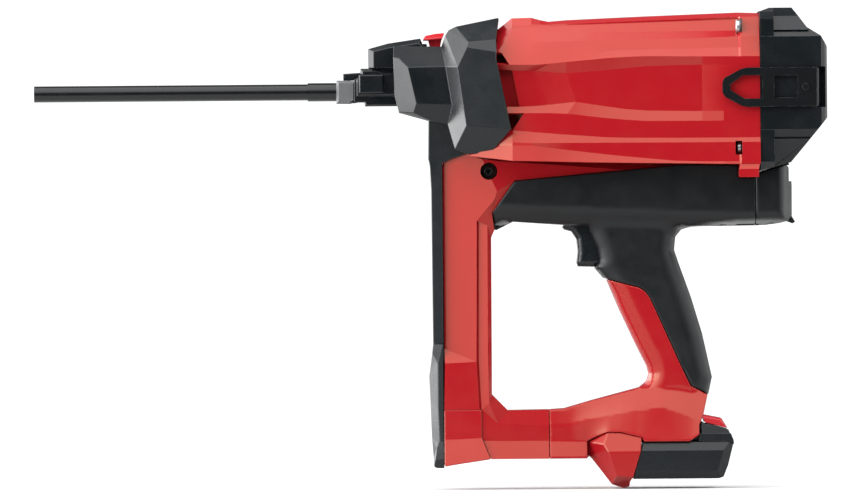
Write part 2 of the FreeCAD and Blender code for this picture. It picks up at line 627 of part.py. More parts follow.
def barrel_keepout():
    return prism(inset(BARREL_SIDE, -GAP), "y", -80, 80).common(prism(inset(BARREL_SECTION, -GAP), "x", 300, 600))


def cross_bolt():
    x, z = CROSS_BOLT
    heads = []
    for sy in (-1, 1):
        socket = prism([(x + 2.1 * math.cos(a * math.pi / 3), z + 2.1 * math.sin(a * math.pi / 3)) for a in range(6)],
                       "y", *sorted((sy * 13.5, sy * 20)))
        heads.append(rod("y", *sorted((sy * 12.1, sy * 16)), 4.4, x, z).cut(socket))
    return fuse(rod("y", -12.1, 12.1, 2.5, x, z), *heads)


def column_foot():
    whole = hollow_pad(COLUMN_FOOT_SIDE, COLUMN_HALF, 4.0, 2.5)
    return cut(whole, box(331, 355, -16, 16, -262, -250))


def handle_shells():
    """Upper housing round the gas can, with the soft grip below it."""
    top = pad(HANDLE_TOP_SIDE, HANDLE_TOP_HALF, 6.0, 4.0)
    grip = pad(GRIP_SIDE, GRIP_HALF, 7.0, 5.0)
    top_in = pad(inset(HANDLE_TOP_SIDE, WALL + 1.5), HANDLE_TOP_HALF - WALL)
    grip_in = pad(inset(GRIP_SIDE, WALL + 2.0), GRIP_HALF - WALL)
    bosses = [boss(x, z, half).common(fuse(top, grip)) for x, z, half in HANDLE_SCREWS]
    back_open = box(555, 570, -20, 20, -105, -68)
    can_way = rod("x", 390, 570, CAN_R + 0.5, 0, CAN_Z)
    whole = fuse(cut(fuse(top, grip), top_in, grip_in, back_open), *bosses)
    whole = cut(whole, trigger_keepout(), can_way, *[screw_way(*spot) for spot in HANDLE_SCREWS], *lead_runs(0.8),
                box(560, 581, -40, 40, -59.9, -50), box(564.9, 579, 26.3, 40, -72, -50), box(564.9, 579, -40, -26.3, -72, -50))
    return side(whole, -1), side(whole, 1)


def foot_shells():
    """Red front of the handle, the foot over the battery and the rear of the lower bar."""
    wide = [(452, -266), (500, -256), (531, -262), (532.3, -269.7), (532.2, -277.5), (524.2, -282.6), (487.8, -282.6),
            (486.5, -279.2), (469, -274.8), (458.7, -274.8), (452, -277.5)]
    outer = fuse(pad(FOOT_SIDE, BAR_HALF, 4.0, 2.5), pad(wide, FOOT_HALF, 8.0, 2.0))
    wide_in = pad(inset(wide, 2.6), FOOT_HALF - WALL)
    whole = cut(outer, pad(inset(FOOT_SIDE, WALL + 1.0), BAR_HALF - WALL), wide_in)
    bosses = [boss(x, z, half - 0.5).common(outer) for x, z, half in FOOT_SCREWS]
    whole = fuse(whole, *bosses)
    slot = box(488.5, 540, -BATTERY_SLOT_HALF - 3.2, BATTERY_SLOT_HALF + 3.2, -284, -271.6)
    whole = cut(whole, slot, *[screw_way(*spot) for spot in FOOT_SCREWS], trigger_keepout(), *lead_runs(0.8))
    return side(whole, -1), side(whole, 1)


def trigger_keepout():
    return box(430, 475, -8.6, 8.6, -146, -110.0)


def battery_guard():
    return hollow_pad(GUARD_SIDE, 32, 7.0, 3.5)


def battery_shoe():
    """Rails under the foot that the battery's tongue slides in, with the contact block."""
    half = BATTERY_SLOT_HALF
    body = box(489, 531.5, -half - 2.8, half + 2.8, -282.2, -272)
    tongue_way = fuse(box(491.5, 540, -half - 0.4, half + 0.4, -278.6, -274.6), box(491.5, 540, -14.4, 14.4, -284, -276))
    corner = prism([(533, -276.5), (533, -284), (520, -284)], "y", -40, 40)
    blades = [box(491.5, 503, y, y + 0.8, -278.2, -275.0) for y in (-8.4, -0.4, 7.6)]
    return fuse(cut(body, tongue_way, corner), *blades)


def battery_case():
    half = 31.0
    outer = pad(BATTERY_SIDE, half, 4.0, 2.0)
    inner = pad(inset(BATTERY_SIDE, 3.0), half - 2.2)
    tongue = fuse(box(492, 532.5, -BATTERY_SLOT_HALF, BATTERY_SLOT_HALF, -278.4, -274.9),
                  box(492, 532.5, -14, 14, -283.2, -278.4), box(528, 535, -14, 14, -283.2, -274.9))
    slots = [box(491, 505, y - 0.5, y + 1.3, -279, -274) for y in (-8.4, -0.4, 7.6)]
    pocket = prism([(537.6, -262), (537.8, -268.8), (552.3, -271.1), (555.2, -274.2), (562, -274.2), (562, -258)],
                   "y", -17, 17)
    button_well = box(540, 549, -15, 15, -277.5, -262)
    ledge = pad([(534, -264.5), (534, -273.5), (553, -276.5), (557, -279), (557, -274), (550.3, -264.8)], 20)
    ledge = ledge.common(outer)
    return cut(fuse(cut(outer, inner), tongue, ledge), *slots, pocket, button_well)


def battery_cells():
    r, gap = 9.1, 0.3
    return Part.makeCompound([rod("x", 492, 542, r, k * (2 * r + gap), -298.4) for k in (-1, 0, 1)])


def battery_board():
    return box(495, 530, -20, 20, -288.2, -286.6)


def battery_button():
    cap = pad([(538.2, -262.9), (539.0, -265.6), (552.0, -267.7), (554.6, -270.2), (550.4, -265.0)], 16.4)
    return fuse(cap, box(540.6, 548.4, -14.4, 14.4, -274, -266))


def gas_cover():
    """Rear door of the gas compartment, hung at its top edge."""
    px, pz = COVER_PIN
    body = hollow_pad(COVER_SIDE, HANDLE_TOP_HALF, 6.0, 4.0, 2.6)
    opened = cut(body, box(560, 572, -22.5, 22.5, -104.5, -75))
    ears = [rod("y", *sorted((sy * 14.3, sy * 18)), 3.4, px, pz) for sy in (-1, 1)]
    props = [box(px - 3, px + 3, *sorted((sy * 14.3, sy * 18)), pz, -64) for sy in (-1, 1)]
    outer = pad(COVER_SIDE, HANDLE_TOP_HALF, 6.0, 4.0)
    tab = pad([(604, -99.5), (607, -100), (611.2, -107.2), (609, -108.4), (602, -105.8)], 7, 1.0, 0.6)
    whole = fuse(opened, *[p.common(outer) for p in ears + props], tab)
    lug_room = [box(592, 612, *sorted((sy * 9.5, sy * 14.2)), -74.5, -60) for sy in (-1, 1)]
    return cut(whole, *lug_room, rod("y", -30, 30, 1.6, px, pz).common(box(500, 700, -19, 19, -90, -50)))


def cover_pin():
    return rod("y", -18.5, 18.5, 1.5, *COVER_PIN)


# ---------------------------------------------------------------- trigger and electrics
def trigger():
    return pad(TRIGGER_SIDE, 8.0, 2.5, 1.5)


def trigger_switch():
    return fuse(box(475.5, 492, -5, 5, -137, -119), rod("x", 472.4, 475.5, 1.6, 0, -126))


def trigger_spring():
    return helix_spring(464.2, 475.3, 3.2, 0.5, 5, 0, -131.5)


def control_board():
    board = box(-7, 7, -0.8, 0.8, -20, 20)
    chips = [box(-5, 2, 0.8, 2.6, -13, -6), box(-3, 5, 0.8, 3.4, -2, 6), box(-5, -1, 0.8, 5.0, 9, 15)]
    whole = fuse(board, *chips)
    whole.rotate(V(0, 0, 0), V(0, 1, 0), -22)
    whole.translate(V(508.7, 0, -165))
    return whole


def lead_runs(grow=0.0):
    """Leads inside the housings: board to battery contacts, and board to switch."""
    y = 2.7
    to_contacts = [(516.0, y, -182.5), (521.0, y, -203), (518.0, y, -224), (508, y, -242), (500.5, y, -257), (499, y, -271.8)]
    to_switch = [(503.5, -2.4, -151), (500, -2.4, -139), (493.0, -2.4, -131)]
    return [tube_run(to_contacts, 1.6 + grow), tube_run(to_switch, 1.4 + grow)]


def wiring():
    return Part.makeCompound(lead_runs())


# ---------------------------------------------------------------- write the nodes
def main():
    barrel_left, barrel_right = barrel_shells()
    shroud_left, shroud_right = shroud_shells()
    frame_left, frame_right = frame_shells()
    handle_left, handle_right = handle_shells()
    foot_left, foot_right = foot_shells()
    screws = [screw(*spot) for spot in BARREL_SCREWS + FRAME_SCREWS + HANDLE_SCREWS + FOOT_SCREWS]
    spring_left, spring_right = probe_springs()
    nodes = {
        "barrel_shell_left": barrel_left, "barrel_shell_right": barrel_right,
        "rear_cap": rear_cap(), "rear_cap_bolts": cap_bolts(), "air_filter": air_filter(),
        "belt_hook": hook(), "belt_hook_pin": hook_pin(),
        "nose_shroud_left": shroud_left, "nose_shroud_right": shroud_right,
        "nose_hood": nose_core(), "release_button": top_latch(),
        "front_rail": front_rail(), "front_bumper": front_bumper(), "front_wear_pad": front_wear_pad(),
        "frame_left": frame_left, "frame_right": frame_right, "frame_cross_bolt": cross_bolt(),
        "column_foot": column_foot(),
        "handle_left": handle_left, "handle_right": handle_right,
        "foot_left": foot_left, "foot_right": foot_right, "housing_screws": Part.makeCompound(screws),
        "battery_guard": battery_guard(), "battery_shoe": battery_shoe(),
        "nose_guide": nose_guide(), "nose_guide_screws": guide_screws(),
        "guide_tube": guide_tube(), "tube_sleeve": tube_sleeve(), "tube_collar": tube_collar(),
        "carrier_block": carrier_block(), "lock_button": lock_button(), "link_yoke": link_yoke(),
        "chamber_sleeve": chamber_sleeve(), "probe_spring_left": spring_left, "probe_spring_right": spring_right,
        "cylinder": cylinder(), "seal_rings": seal_rings(), "buffer": buffer(),
        "piston": piston(), "piston_rings": piston_rings(), "driver_rod": driver_rod(),
        "cylinder_head": cylinder_head(), "spark_plug": spark_plug(), "fan_motor": fan_motor(), "fan": fan(),
        "gas_can": gas_can(), "metering_valve": metering_valve(),
        "gas_cover": gas_cover(), "gas_cover_pin": cover_pin(),
        "trigger": trigger(), "trigger_switch": trigger_switch(), "trigger_spring": trigger_spring(),
        "control_board": control_board(), "wiring": wiring(),
        "battery_case": battery_case(), "battery_cells": battery_cells(), "battery_board": battery_board(),
        "battery_button": battery_button(),
    }
    os.makedirs("parts", exist_ok=True)
    for name, shape in nodes.items():
        solids = [s for s in shape.Solids if s.Volume > 0.5]
        Part.makeCompound(solids).exportStep(f"parts/{name}.step")
        bounds = shape.BoundBox
        print(f"{name:20s} solids {len(solids)} of {len(shape.Solids)} valid {all(s.isValid() for s in solids)} "
              f"x {bounds.XMin:.1f}..{bounds.XMax:.1f} y {bounds.YMin:.1f}..{bounds.YMax:.1f} "
              f"z {bounds.ZMin:.1f}..{bounds.ZMax:.1f}")
    print(len(nodes), "nodes")


main()
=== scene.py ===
"""Looks for the insulation nail gun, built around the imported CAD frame.

Lengths in this file are millimetres in the row frame, and MM turns them into metres when a mesh is
made. A housing half is described by its left (-Y) side: y is the distance outwards from the middle.
"""

import json
import math

import bmesh
import bpy
import numpy as np
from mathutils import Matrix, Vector
from mathutils.geometry import delaunay_2d_cdt


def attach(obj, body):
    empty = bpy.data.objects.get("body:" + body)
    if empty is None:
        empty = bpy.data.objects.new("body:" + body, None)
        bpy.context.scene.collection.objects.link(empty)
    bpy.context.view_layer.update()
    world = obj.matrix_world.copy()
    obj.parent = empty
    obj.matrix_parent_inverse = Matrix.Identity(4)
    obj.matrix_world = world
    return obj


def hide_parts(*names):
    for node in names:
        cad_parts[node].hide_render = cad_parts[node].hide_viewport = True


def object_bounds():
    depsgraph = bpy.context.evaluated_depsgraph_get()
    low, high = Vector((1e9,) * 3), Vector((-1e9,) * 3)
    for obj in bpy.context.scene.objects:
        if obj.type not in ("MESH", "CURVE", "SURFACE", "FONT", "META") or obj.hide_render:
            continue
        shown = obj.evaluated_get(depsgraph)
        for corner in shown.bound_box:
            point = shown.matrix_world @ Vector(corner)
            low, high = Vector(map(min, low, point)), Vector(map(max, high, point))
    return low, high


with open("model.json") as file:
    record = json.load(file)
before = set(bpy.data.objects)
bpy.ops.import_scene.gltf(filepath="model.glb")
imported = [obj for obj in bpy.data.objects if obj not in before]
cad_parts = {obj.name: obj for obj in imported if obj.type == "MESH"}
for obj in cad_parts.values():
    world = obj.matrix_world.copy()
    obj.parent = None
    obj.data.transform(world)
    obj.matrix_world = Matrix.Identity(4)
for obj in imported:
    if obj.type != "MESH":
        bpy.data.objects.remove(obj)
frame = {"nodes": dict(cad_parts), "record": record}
cad_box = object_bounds()

MM = 0.001
PARTING = 0.05  # each housing half stops this far from the middle plane
MERGE = 0.004  # points of one mesh nearer than this become one
HALVES_MERGE = 0.001  # the same for the points where two halves of a whole piece meet
SLOT_OF = {part["node"]: part["material_slot"] for part in frame["record"]["subparts"]}


# ---------------------------------------------------------------- materials
ROUGH_SWING = 0.06  # roughness varies this much either way over a surface


class Tree:
    """Short way to add shader nodes."""

    def __init__(self, tree):
        self.tree = tree
        tree.nodes.clear()

    def add(self, kind, settings=None, **inputs):
        """A node; its inputs go by name, with _ for a space, or by place, as i0, i1 and so on."""
        made = self.tree.nodes.new("ShaderNode" + kind)
        for key, value in (settings or {}).items():
            setattr(made, key, value)
        for key, value in inputs.items():
            numbered = key[0] == "i" and key[1:].isdigit()
            socket = made.inputs[int(key[1:]) if numbered else key.replace("_", " ")]
            if isinstance(value, bpy.types.NodeSocket):
                self.tree.links.new(value, socket)
            else:
                socket.default_value = value
        return made

    def maths(self, operation, a, b=0.0, clamp=False):
        return self.add("Math", {"operation": operation, "use_clamp": clamp}, i0=a, i1=b).outputs[0]

    def remap(self, value, from_lo, from_hi, to_lo, to_hi):
        return self.add("MapRange", Value=value, From_Min=from_lo, From_Max=from_hi,
                        To_Min=to_lo, To_Max=to_hi).outputs[0]

    def noise(self, vector, scale, detail=2.0, roughness=0.5):
        return self.add("TexNoise", Vector=vector, Scale=scale, Detail=detail, Roughness=roughness).outputs[0]

    def mix(self, share, a, b):
        made = self.add("Mix", {"data_type": "RGBA"}, i0=share, i6=a, i7=b)
        return made.outputs[2]


def rgba(colour, gain=1.0):
    return tuple(min(1.0, c * gain) for c in colour) + (1.0,)


def surface(name, colour, rough, metallic=0.0, grain=(1500.0, 0.12), ripple=0.0, tone=0.08, wear=0.0,
            wear_colour=(0.5, 0.5, 0.5), brushed=None, specular=0.5, tint=(1.0, 1.0, 1.0)):
    """Procedural finish: tone variation, grain and ripple bump, uneven gloss, worn edges, fine scratches."""
    made = bpy.data.materials.new(name)
    made.use_nodes = True
    t = Tree(made.node_tree)
    where = t.add("TexCoord").outputs["Object"]
    cloud = t.noise(where, 24.0, 4.0)
    smudge = t.noise(where, 60.0, 5.0, 0.6)
    fine = t.noise(where, grain[0], 3.0, 0.6)
    mottled = t.mix(t.remap(cloud, 0.3, 0.7, 0.0, 1.0), rgba(colour, 1 - tone), rgba(colour, 1 + tone))
    mottled = t.mix(t.remap(fine, 0.35, 0.65, 0.0, 0.35), mottled, rgba(colour, 1 - 2 * tone))
    rough_map = t.remap(smudge, 0.3, 0.7, rough - ROUGH_SWING, rough + ROUGH_SWING)
    height = fine
    if brushed:
        stretch = t.add("Mapping", Vector=where, Scale=brushed).outputs[0]
        streaks = t.noise(stretch, 60.0, 4.0, 0.7)
        height = t.maths("ADD", fine, t.maths("MULTIPLY", streaks, 1.5))
        rough_map = t.maths("ADD", rough_map, t.remap(streaks, 0.3, 0.7, -0.05, 0.08))
        mottled = t.mix(t.remap(streaks, 0.3, 0.7, 0.0, 0.4), mottled, rgba(colour, 0.75))
    scratch_map = t.add("Mapping", Vector=where, Rotation=(0.3, 0.9, 0.5),
                        Scale=(30.0, 30.0, 700.0)).outputs[0]
    scratches = t.remap(t.noise(scratch_map, 1.6, 2.0, 0.7), 0.74, 0.80, 0.0, 1.0)
    rough_map = t.maths("ADD", rough_map, t.maths("MULTIPLY", scratches, 0.05))
    if wear:
        rounded = t.add("Bevel", {"samples": 4}, Radius=0.0009).outputs[0]
        own = t.add("NewGeometry").outputs["Normal"]
        same = t.add("VectorMath", {"operation": "DOT_PRODUCT"}, i0=rounded, i1=own).outputs["Value"]
        edge = t.remap(same, 0.985, 0.86, 0.0, 1.0)
        patchy = t.remap(t.noise(where, 190.0, 5.0, 0.65), 0.42, 0.72, 0.0, wear)
        worn = t.maths("MULTIPLY", edge, patchy, clamp=True)
        mottled = t.mix(worn, mottled, rgba(wear_colour))
        rough_map = t.maths("ADD", rough_map, t.maths("MULTIPLY", worn, 0.12))
    bump = t.add("Bump", Strength=grain[1], Distance=0.0002, Height=height).outputs[0]
    if ripple:
        wave = t.noise(where, 130.0, 1.0)
        bump = t.add("Bump", Strength=ripple, Distance=0.0006, Height=wave, Normal=bump).outputs[0]
    shader = t.add("BsdfPrincipled", Base_Color=mottled, Metallic=metallic, Roughness=rough_map, Normal=bump,
                   Specular_IOR_Level=specular, Specular_Tint=rgba(tint))
    out = t.add("OutputMaterial")
    t.tree.links.new(shader.outputs[0], out.inputs[0])
    return made


FINISH = {
    "red_plastic": surface("red_plastic", (0.238, 0.0053, 0.0089), 0.20, grain=(2200.0, 0.04), ripple=0.03,
                           tone=0.03, wear=0.35, wear_colour=(0.45, 0.08, 0.06), specular=0.38,
                           tint=(1.0, 0.96, 0.66)),
    "black_plastic": surface("black_plastic", (0.0040, 0.0056, 0.0066), 0.26, grain=(1700.0, 0.08),
                             ripple=0.03, tone=0.06, wear=0.45, wear_colour=(0.09, 0.09, 0.095),
                             specular=0.30),
    "black_grip": surface("black_grip", (0.0036, 0.0048, 0.0056), 0.36, grain=(900.0, 0.14), ripple=0.03,
                          tone=0.08, wear=0.25, wear_colour=(0.06, 0.06, 0.06), specular=0.28),
    "black_steel": surface("black_steel", (0.0050, 0.0058, 0.0064), 0.19, grain=(2600.0, 0.05), tone=0.08,
                           wear=0.35, wear_colour=(0.16, 0.165, 0.17), specular=0.35),
    "collar_steel": surface("collar_steel", (0.075, 0.078, 0.08), 0.42, grain=(1600.0, 0.14), tone=0.12,
                            wear=0.5, wear_colour=(0.3, 0.3, 0.31)),
    "bright_steel": surface("bright_steel", (0.42, 0.42, 0.43), 0.34, metallic=1.0, brushed=(10.0, 10.0,
                            1.0)),
    "ground_steel": surface("ground_steel", (0.50, 0.50, 0.52), 0.25, metallic=1.0, brushed=(1.0, 14.0,
                            14.0)),
    "aluminium": surface("aluminium", (0.72, 0.73, 0.74), 0.40, metallic=1.0, grain=(900.0, 0.25)),
    "seal_rubber": surface("seal_rubber", (0.02, 0.02, 0.02), 0.65, grain=(1200.0, 0.25), specular=0.3),
    "red_button": surface("red_button", (0.30, 0.006, 0.011), 0.24, grain=(2200.0, 0.08), tone=0.05, wear=0.3,
                          wear_colour=(0.65, 0.12, 0.10)),
    "foam": surface("foam", (0.09, 0.09, 0.09), 0.9, grain=(600.0, 1.0), tone=0.3, specular=0.1),
    "can_metal": surface("can_metal", (0.75, 0.76, 0.78), 0.22, metallic=1.0, brushed=(14.0, 1.0, 1.0)),
    "board_green": surface("board_green", (0.02, 0.16, 0.06), 0.4, grain=(400.0, 0.3)),
    "cell_wrap": surface("cell_wrap", (0.05, 0.2, 0.5), 0.35, grain=(800.0, 0.1)),
    "wire_black": surface("wire_black", (0.03, 0.03, 0.03), 0.5, grain=(1500.0, 0.2)),
    "spring_steel": surface("spring_steel", (0.45, 0.45, 0.47), 0.3, metallic=1.0, brushed=(10.0, 1.0, 10.0)),
    "white_ceramic": surface("white_ceramic", (0.9, 0.89, 0.85), 0.15, grain=(900.0, 0.05)),
}


# ---------------------------------------------------------------- mesh helpers
def along(table, x):
    """Value at x of a run of (x, value) pairs."""
    if isinstance(table, (int, float)):
        return table
    if x <= table[0][0]:
        return table[0][1]
    for (x0, v0), (x1, v1) in zip(table, table[1:]):
        if x <= x1:
            return v0 + (v1 - v0) * (x - x0) / (x1 - x0)
    return table[-1][1]


def build(verts, faces):
    """bmesh from points and faces, doubles merged."""
    bm = bmesh.new()
    made = [bm.verts.new(v) for v in verts]
    for face in faces:
        if len(set(face)) > 2:
            try:
                bm.faces.new([made[i] for i in dict.fromkeys(face)])
            except ValueError:
                continue
    bmesh.ops.remove_doubles(bm, verts=bm.verts, dist=MERGE)
    loose = [v for v in bm.verts if not v.link_faces]
    bmesh.ops.delete(bm, geom=loose, context="VERTS")
    return bm


def face_outwards(bm, middle):
    """Consistent normals that look away from a point inside."""
    bmesh.ops.recalc_face_normals(bm, faces=bm.faces)
    facing = sum(f.calc_area() * f.normal.dot(f.calc_center_median() - Vector(middle)) for f in bm.faces)
    if facing < 0:
        bmesh.ops.reverse_faces(bm, faces=bm.faces)


def flipped(bm):
    """Mirror copy across the middle plane."""
    other = bm.copy()
    for v in other.verts:
        v.co.y = -v.co.y
    bmesh.ops.reverse_faces(other, faces=other.faces)
    return other


def joined(*parts):
    whole = bmesh.new()
    for part in parts:
        mesh = bpy.data.meshes.new("join")
        part.to_mesh(mesh)
        whole.from_mesh(mesh)
        bpy.data.meshes.remove(mesh)
    return whole


def to_object(bm, name):
    mesh = bpy.data.meshes.new(name)
    bm.to_mesh(mesh)
    made = bpy.data.objects.new(name, mesh)
    bpy.context.scene.collection.objects.link(made)
    return made


def applied(made):
    """The object's mesh with its modifiers applied, as a bmesh; the object is removed."""
    bpy.context.view_layer.update()
    ready = made.evaluated_get(bpy.context.evaluated_depsgraph_get())
    mesh = bpy.data.meshes.new_from_object(ready)
    bm = bmesh.new()
    bm.from_mesh(mesh)
    bpy.data.objects.remove(made)
    return bm


def combine(bm, tool, how):
    """Boolean of two solids; how is the modifier's operation."""
    a, b = to_object(bm, "work"), to_object(tool, "tool")
    mod = a.modifiers.new("combine", "BOOLEAN")
    mod.operation, mod.object, mod.solver = how, b, "EXACT"
    result = applied(a)
    bpy.data.objects.remove(b)
    return result


def cut(bm, *tools):
    for tool in tools:
        bm = combine(bm, tool, "DIFFERENCE")
    return bm


def thickened(bm, wall):
    """Open skin made into a wall that grows inwards."""
    made = to_object(bm, "skin")
    mod = made.modifiers.new("wall", "SOLIDIFY")
    mod.thickness, mod.offset, mod.use_even_offset = wall, -1.0, False
    return applied(made)


def side_planes(*points):
    """Planes straight across the tool, one through each pair of neighbouring (x, z) points."""
    return [((ax, 0.0, az), (bz - az, 0.0, ax - bx)) for (ax, az), (bx, bz) in zip(points, points[1:])]


def end_planes(*points):
    """Planes straight along the tool, one through each pair of neighbouring (y, z) points."""
    return [((0.0, ay, az), (0.0, bz - az, ay - by)) for (ay, az), (by, bz) in zip(points, points[1:])]


def plane_through(a, b, c):
    return a, tuple((Vector(b) - Vector(a)).cross(Vector(c) - Vector(a)))


def convex(lo, hi, planes=()):
    """Box cut back by planes (point, normal), which leave the side with its middle.

    A plane that leans sideways also cuts the other side.
    """
    centre = [(a + b) / 2 for a, b in zip(lo, hi)]
    bm = bmesh.new()
    bmesh.ops.create_cube(bm, size=1.0)
    for v in bm.verts:
        v.co = Vector([(a + b) / 2 + c * (b - a) for a, b, c in zip(lo, hi, v.co)])
    cuts = []
    for point, normal in planes:
        if sum(n * (c - p) for n, c, p in zip(normal, centre, point)) > 0:
            normal = tuple(-n for n in normal)
        cuts.append((point, normal))
        if normal[1]:
            cuts.append(((point[0], -point[1], point[2]), (normal[0], -normal[1], normal[2])))
    for point, normal in cuts:
        geom = bm.verts[:] + bm.edges[:] + bm.faces[:]
        cut = bmesh.ops.bisect_plane(bm, geom=geom, plane_co=point, plane_no=normal, clear_outer=True)
        rim = [e for e in cut["geom_cut"] if isinstance(e, bmesh.types.BMEdge)]
        if rim:
            bmesh.ops.edgeloop_fill(bm, edges=rim)
    bmesh.ops.recalc_face_normals(bm, faces=bm.faces)
    return bm


def loft(rings):
    """Closed solid through rings of equal length, each a list of points."""
    n = len(rings[0])
    verts = [p for ring in rings for p in ring]
    faces = [list(range(n)), list(range(len(verts) - n, len(verts)))]
    for k in range(len(rings) - 1):
        for i in range(n):
            j = (i + 1) % n
            faces.append([k * n + i, k * n + j, (k + 1) * n + j, (k + 1) * n + i])
    bm = build(verts, faces)
    bmesh.ops.recalc_face_normals(bm, faces=bm.faces)
    return bm


def inset(points, d):
    """Outline moved inwards by d."""
    n = len(points)
    area = sum(ax * by - bx * ay for (ax, ay), (bx, by) in zip(points, points[1:] + points[:1]))
    turn = 1.0 if area > 0 else -1.0
    moved = []
    for i in range(n):
        (ax, ay), (bx, by), (cx, cy) = points[i - 1], points[i], points[(i + 1) % n]
        l1, l2 = math.hypot(bx - ax, by - ay), math.hypot(cx - bx, cy - by)
        n1 = (-(by - ay) / l1 * turn, (bx - ax) / l1 * turn)
        n2 = (-(cy - by) / l2 * turn, (cx - bx) / l2 * turn)
        k = d / (1 + n1[0] * n2[0] + n1[1] * n2[1])
        moved.append((bx + (n1[0] + n2[0]) * k, by + (n1[1] + n2[1]) * k))
    return moved


def circle(r, sides, a=0.0, b=0.0):
    """Points of a regular polygon round (a, b)."""
    turns = [2 * math.pi * k / sides for k in range(sides)]
    return [(a + r * math.cos(turn), b + r * math.sin(turn)) for turn in turns]


def across(rings):
    """Solid through side outlines (x, z), each at its own y."""
    return loft([[(x, y, z) for x, z in outline] for outline, y in rings])


def lengthwise(rings):
    """Solid through end outlines (y, z), each at its own x."""
    return loft([[(x, y, z) for y, z in outline] for outline, x in rings])


def slab(outline, y0, y1):
    return across([(outline, y0), (outline, y1)])


def round_bar(x, z, r, y0, y1, sides=40):
    """Cylinder across the tool."""
    return slab(circle(r, sides, x, z), y0, y1)


def domed(top, top_y, edge, edge_y):
    """Solid of outline top between -top_y and top_y that goes over into outline edge on both sides."""
    return across([(edge, -edge_y), (top, -top_y), (top, top_y), (edge, edge_y)])


def relief(points, faces, rim, middle, whole=False):
    """Skin of named points (x, z, y outwards) and faces, closed towards the middle plane along its rim.

    rim lists the outline's point names in order; middle is a point inside.
    """
    names = list(points)
    verts = [(points[n][0], -points[n][2], points[n][1]) for n in names]
    index = {n: i for i, n in enumerate(names)}
    polygons = [[index[n] for n in face.split()] for face in faces]
    order = rim.split()
    inner = {}
    for n in order:
        if n not in inner:
            inner[n] = len(verts)
            verts.append((points[n][0], -PARTING, points[n][1]))
    for a, b in zip(order, order[1:] + order[:1]):
        polygons.append([index[a], index[b], inner[b], inner[a]])
    left = build(verts, polygons)
    face_outwards(left, middle)
    if not whole:
        return left
    for v in left.verts:
        if abs(v.co.y + PARTING) < 1e-6:
            v.co.y = 0.0
    both = joined(left, flipped(left))
    bmesh.ops.remove_doubles(both, verts=both.verts, dist=HALVES_MERGE)
    return both


def grid(rows, skip=()):
    """Surface through rows of points; skip holds (row, column) cells that are left out."""
    n = len(rows[0])
    verts = [p for row in rows for p in row]
    faces = []
    for r in range(len(rows) - 1):
        for c in range(n - 1):
            if (r, c) not in skip:
                a = r * n + c
                faces.append([a, a + 1, a + 1 + n, a + n])
    return verts, faces


def distance(px, pz, line, closed=False):
    """Distance from many points to a run of straight pieces."""
    best = np.full(px.shape, 1e9)
    ends = line[1:] + (line[:1] if closed else [])
    for (ax, az), (bx, bz) in zip(line, ends):
        dx, dz = bx - ax, bz - az
        share = np.clip(((px - ax) * dx + (pz - az) * dz) / max(dx * dx + dz * dz, 1e-9), 0, 1)
        best = np.minimum(best, np.hypot(px - ax - share * dx, pz - az - share * dz))
    return best


def inside(px, pz, line):
    hit = np.zeros(px.shape, bool)
    for (ax, az), (bx, bz) in zip(line, line[1:] + line[:1]):
        crosses = (az > pz) != (bz > pz)
        with np.errstate(divide="ignore", invalid="ignore"):
            at = ax + (pz - az) * (bx - ax) / (bz - az)
        hit ^= crosses & (px < at)
    return hit


def resampled(line, step, closed=True):
    out = []
    ends = line[1:] + (line[:1] if closed else [])
    for (ax, az), (bx, bz) in zip(line, ends):
        n = max(1, round(math.hypot(bx - ax, bz - az) / step))
        out += [(ax + (bx - ax) * k / n, az + (bz - az) * k / n) for k in range(n)]
    if not closed:
        out.append(line[-1])
    return out


def smooth_max(a, b, k):
    """Larger of two values, rounded over within k of where they are equal."""
    h = np.clip(0.5 + 0.5 * (a - b) / k, 0, 1)
    return b + (a - b) * h + k * h * (1 - h)


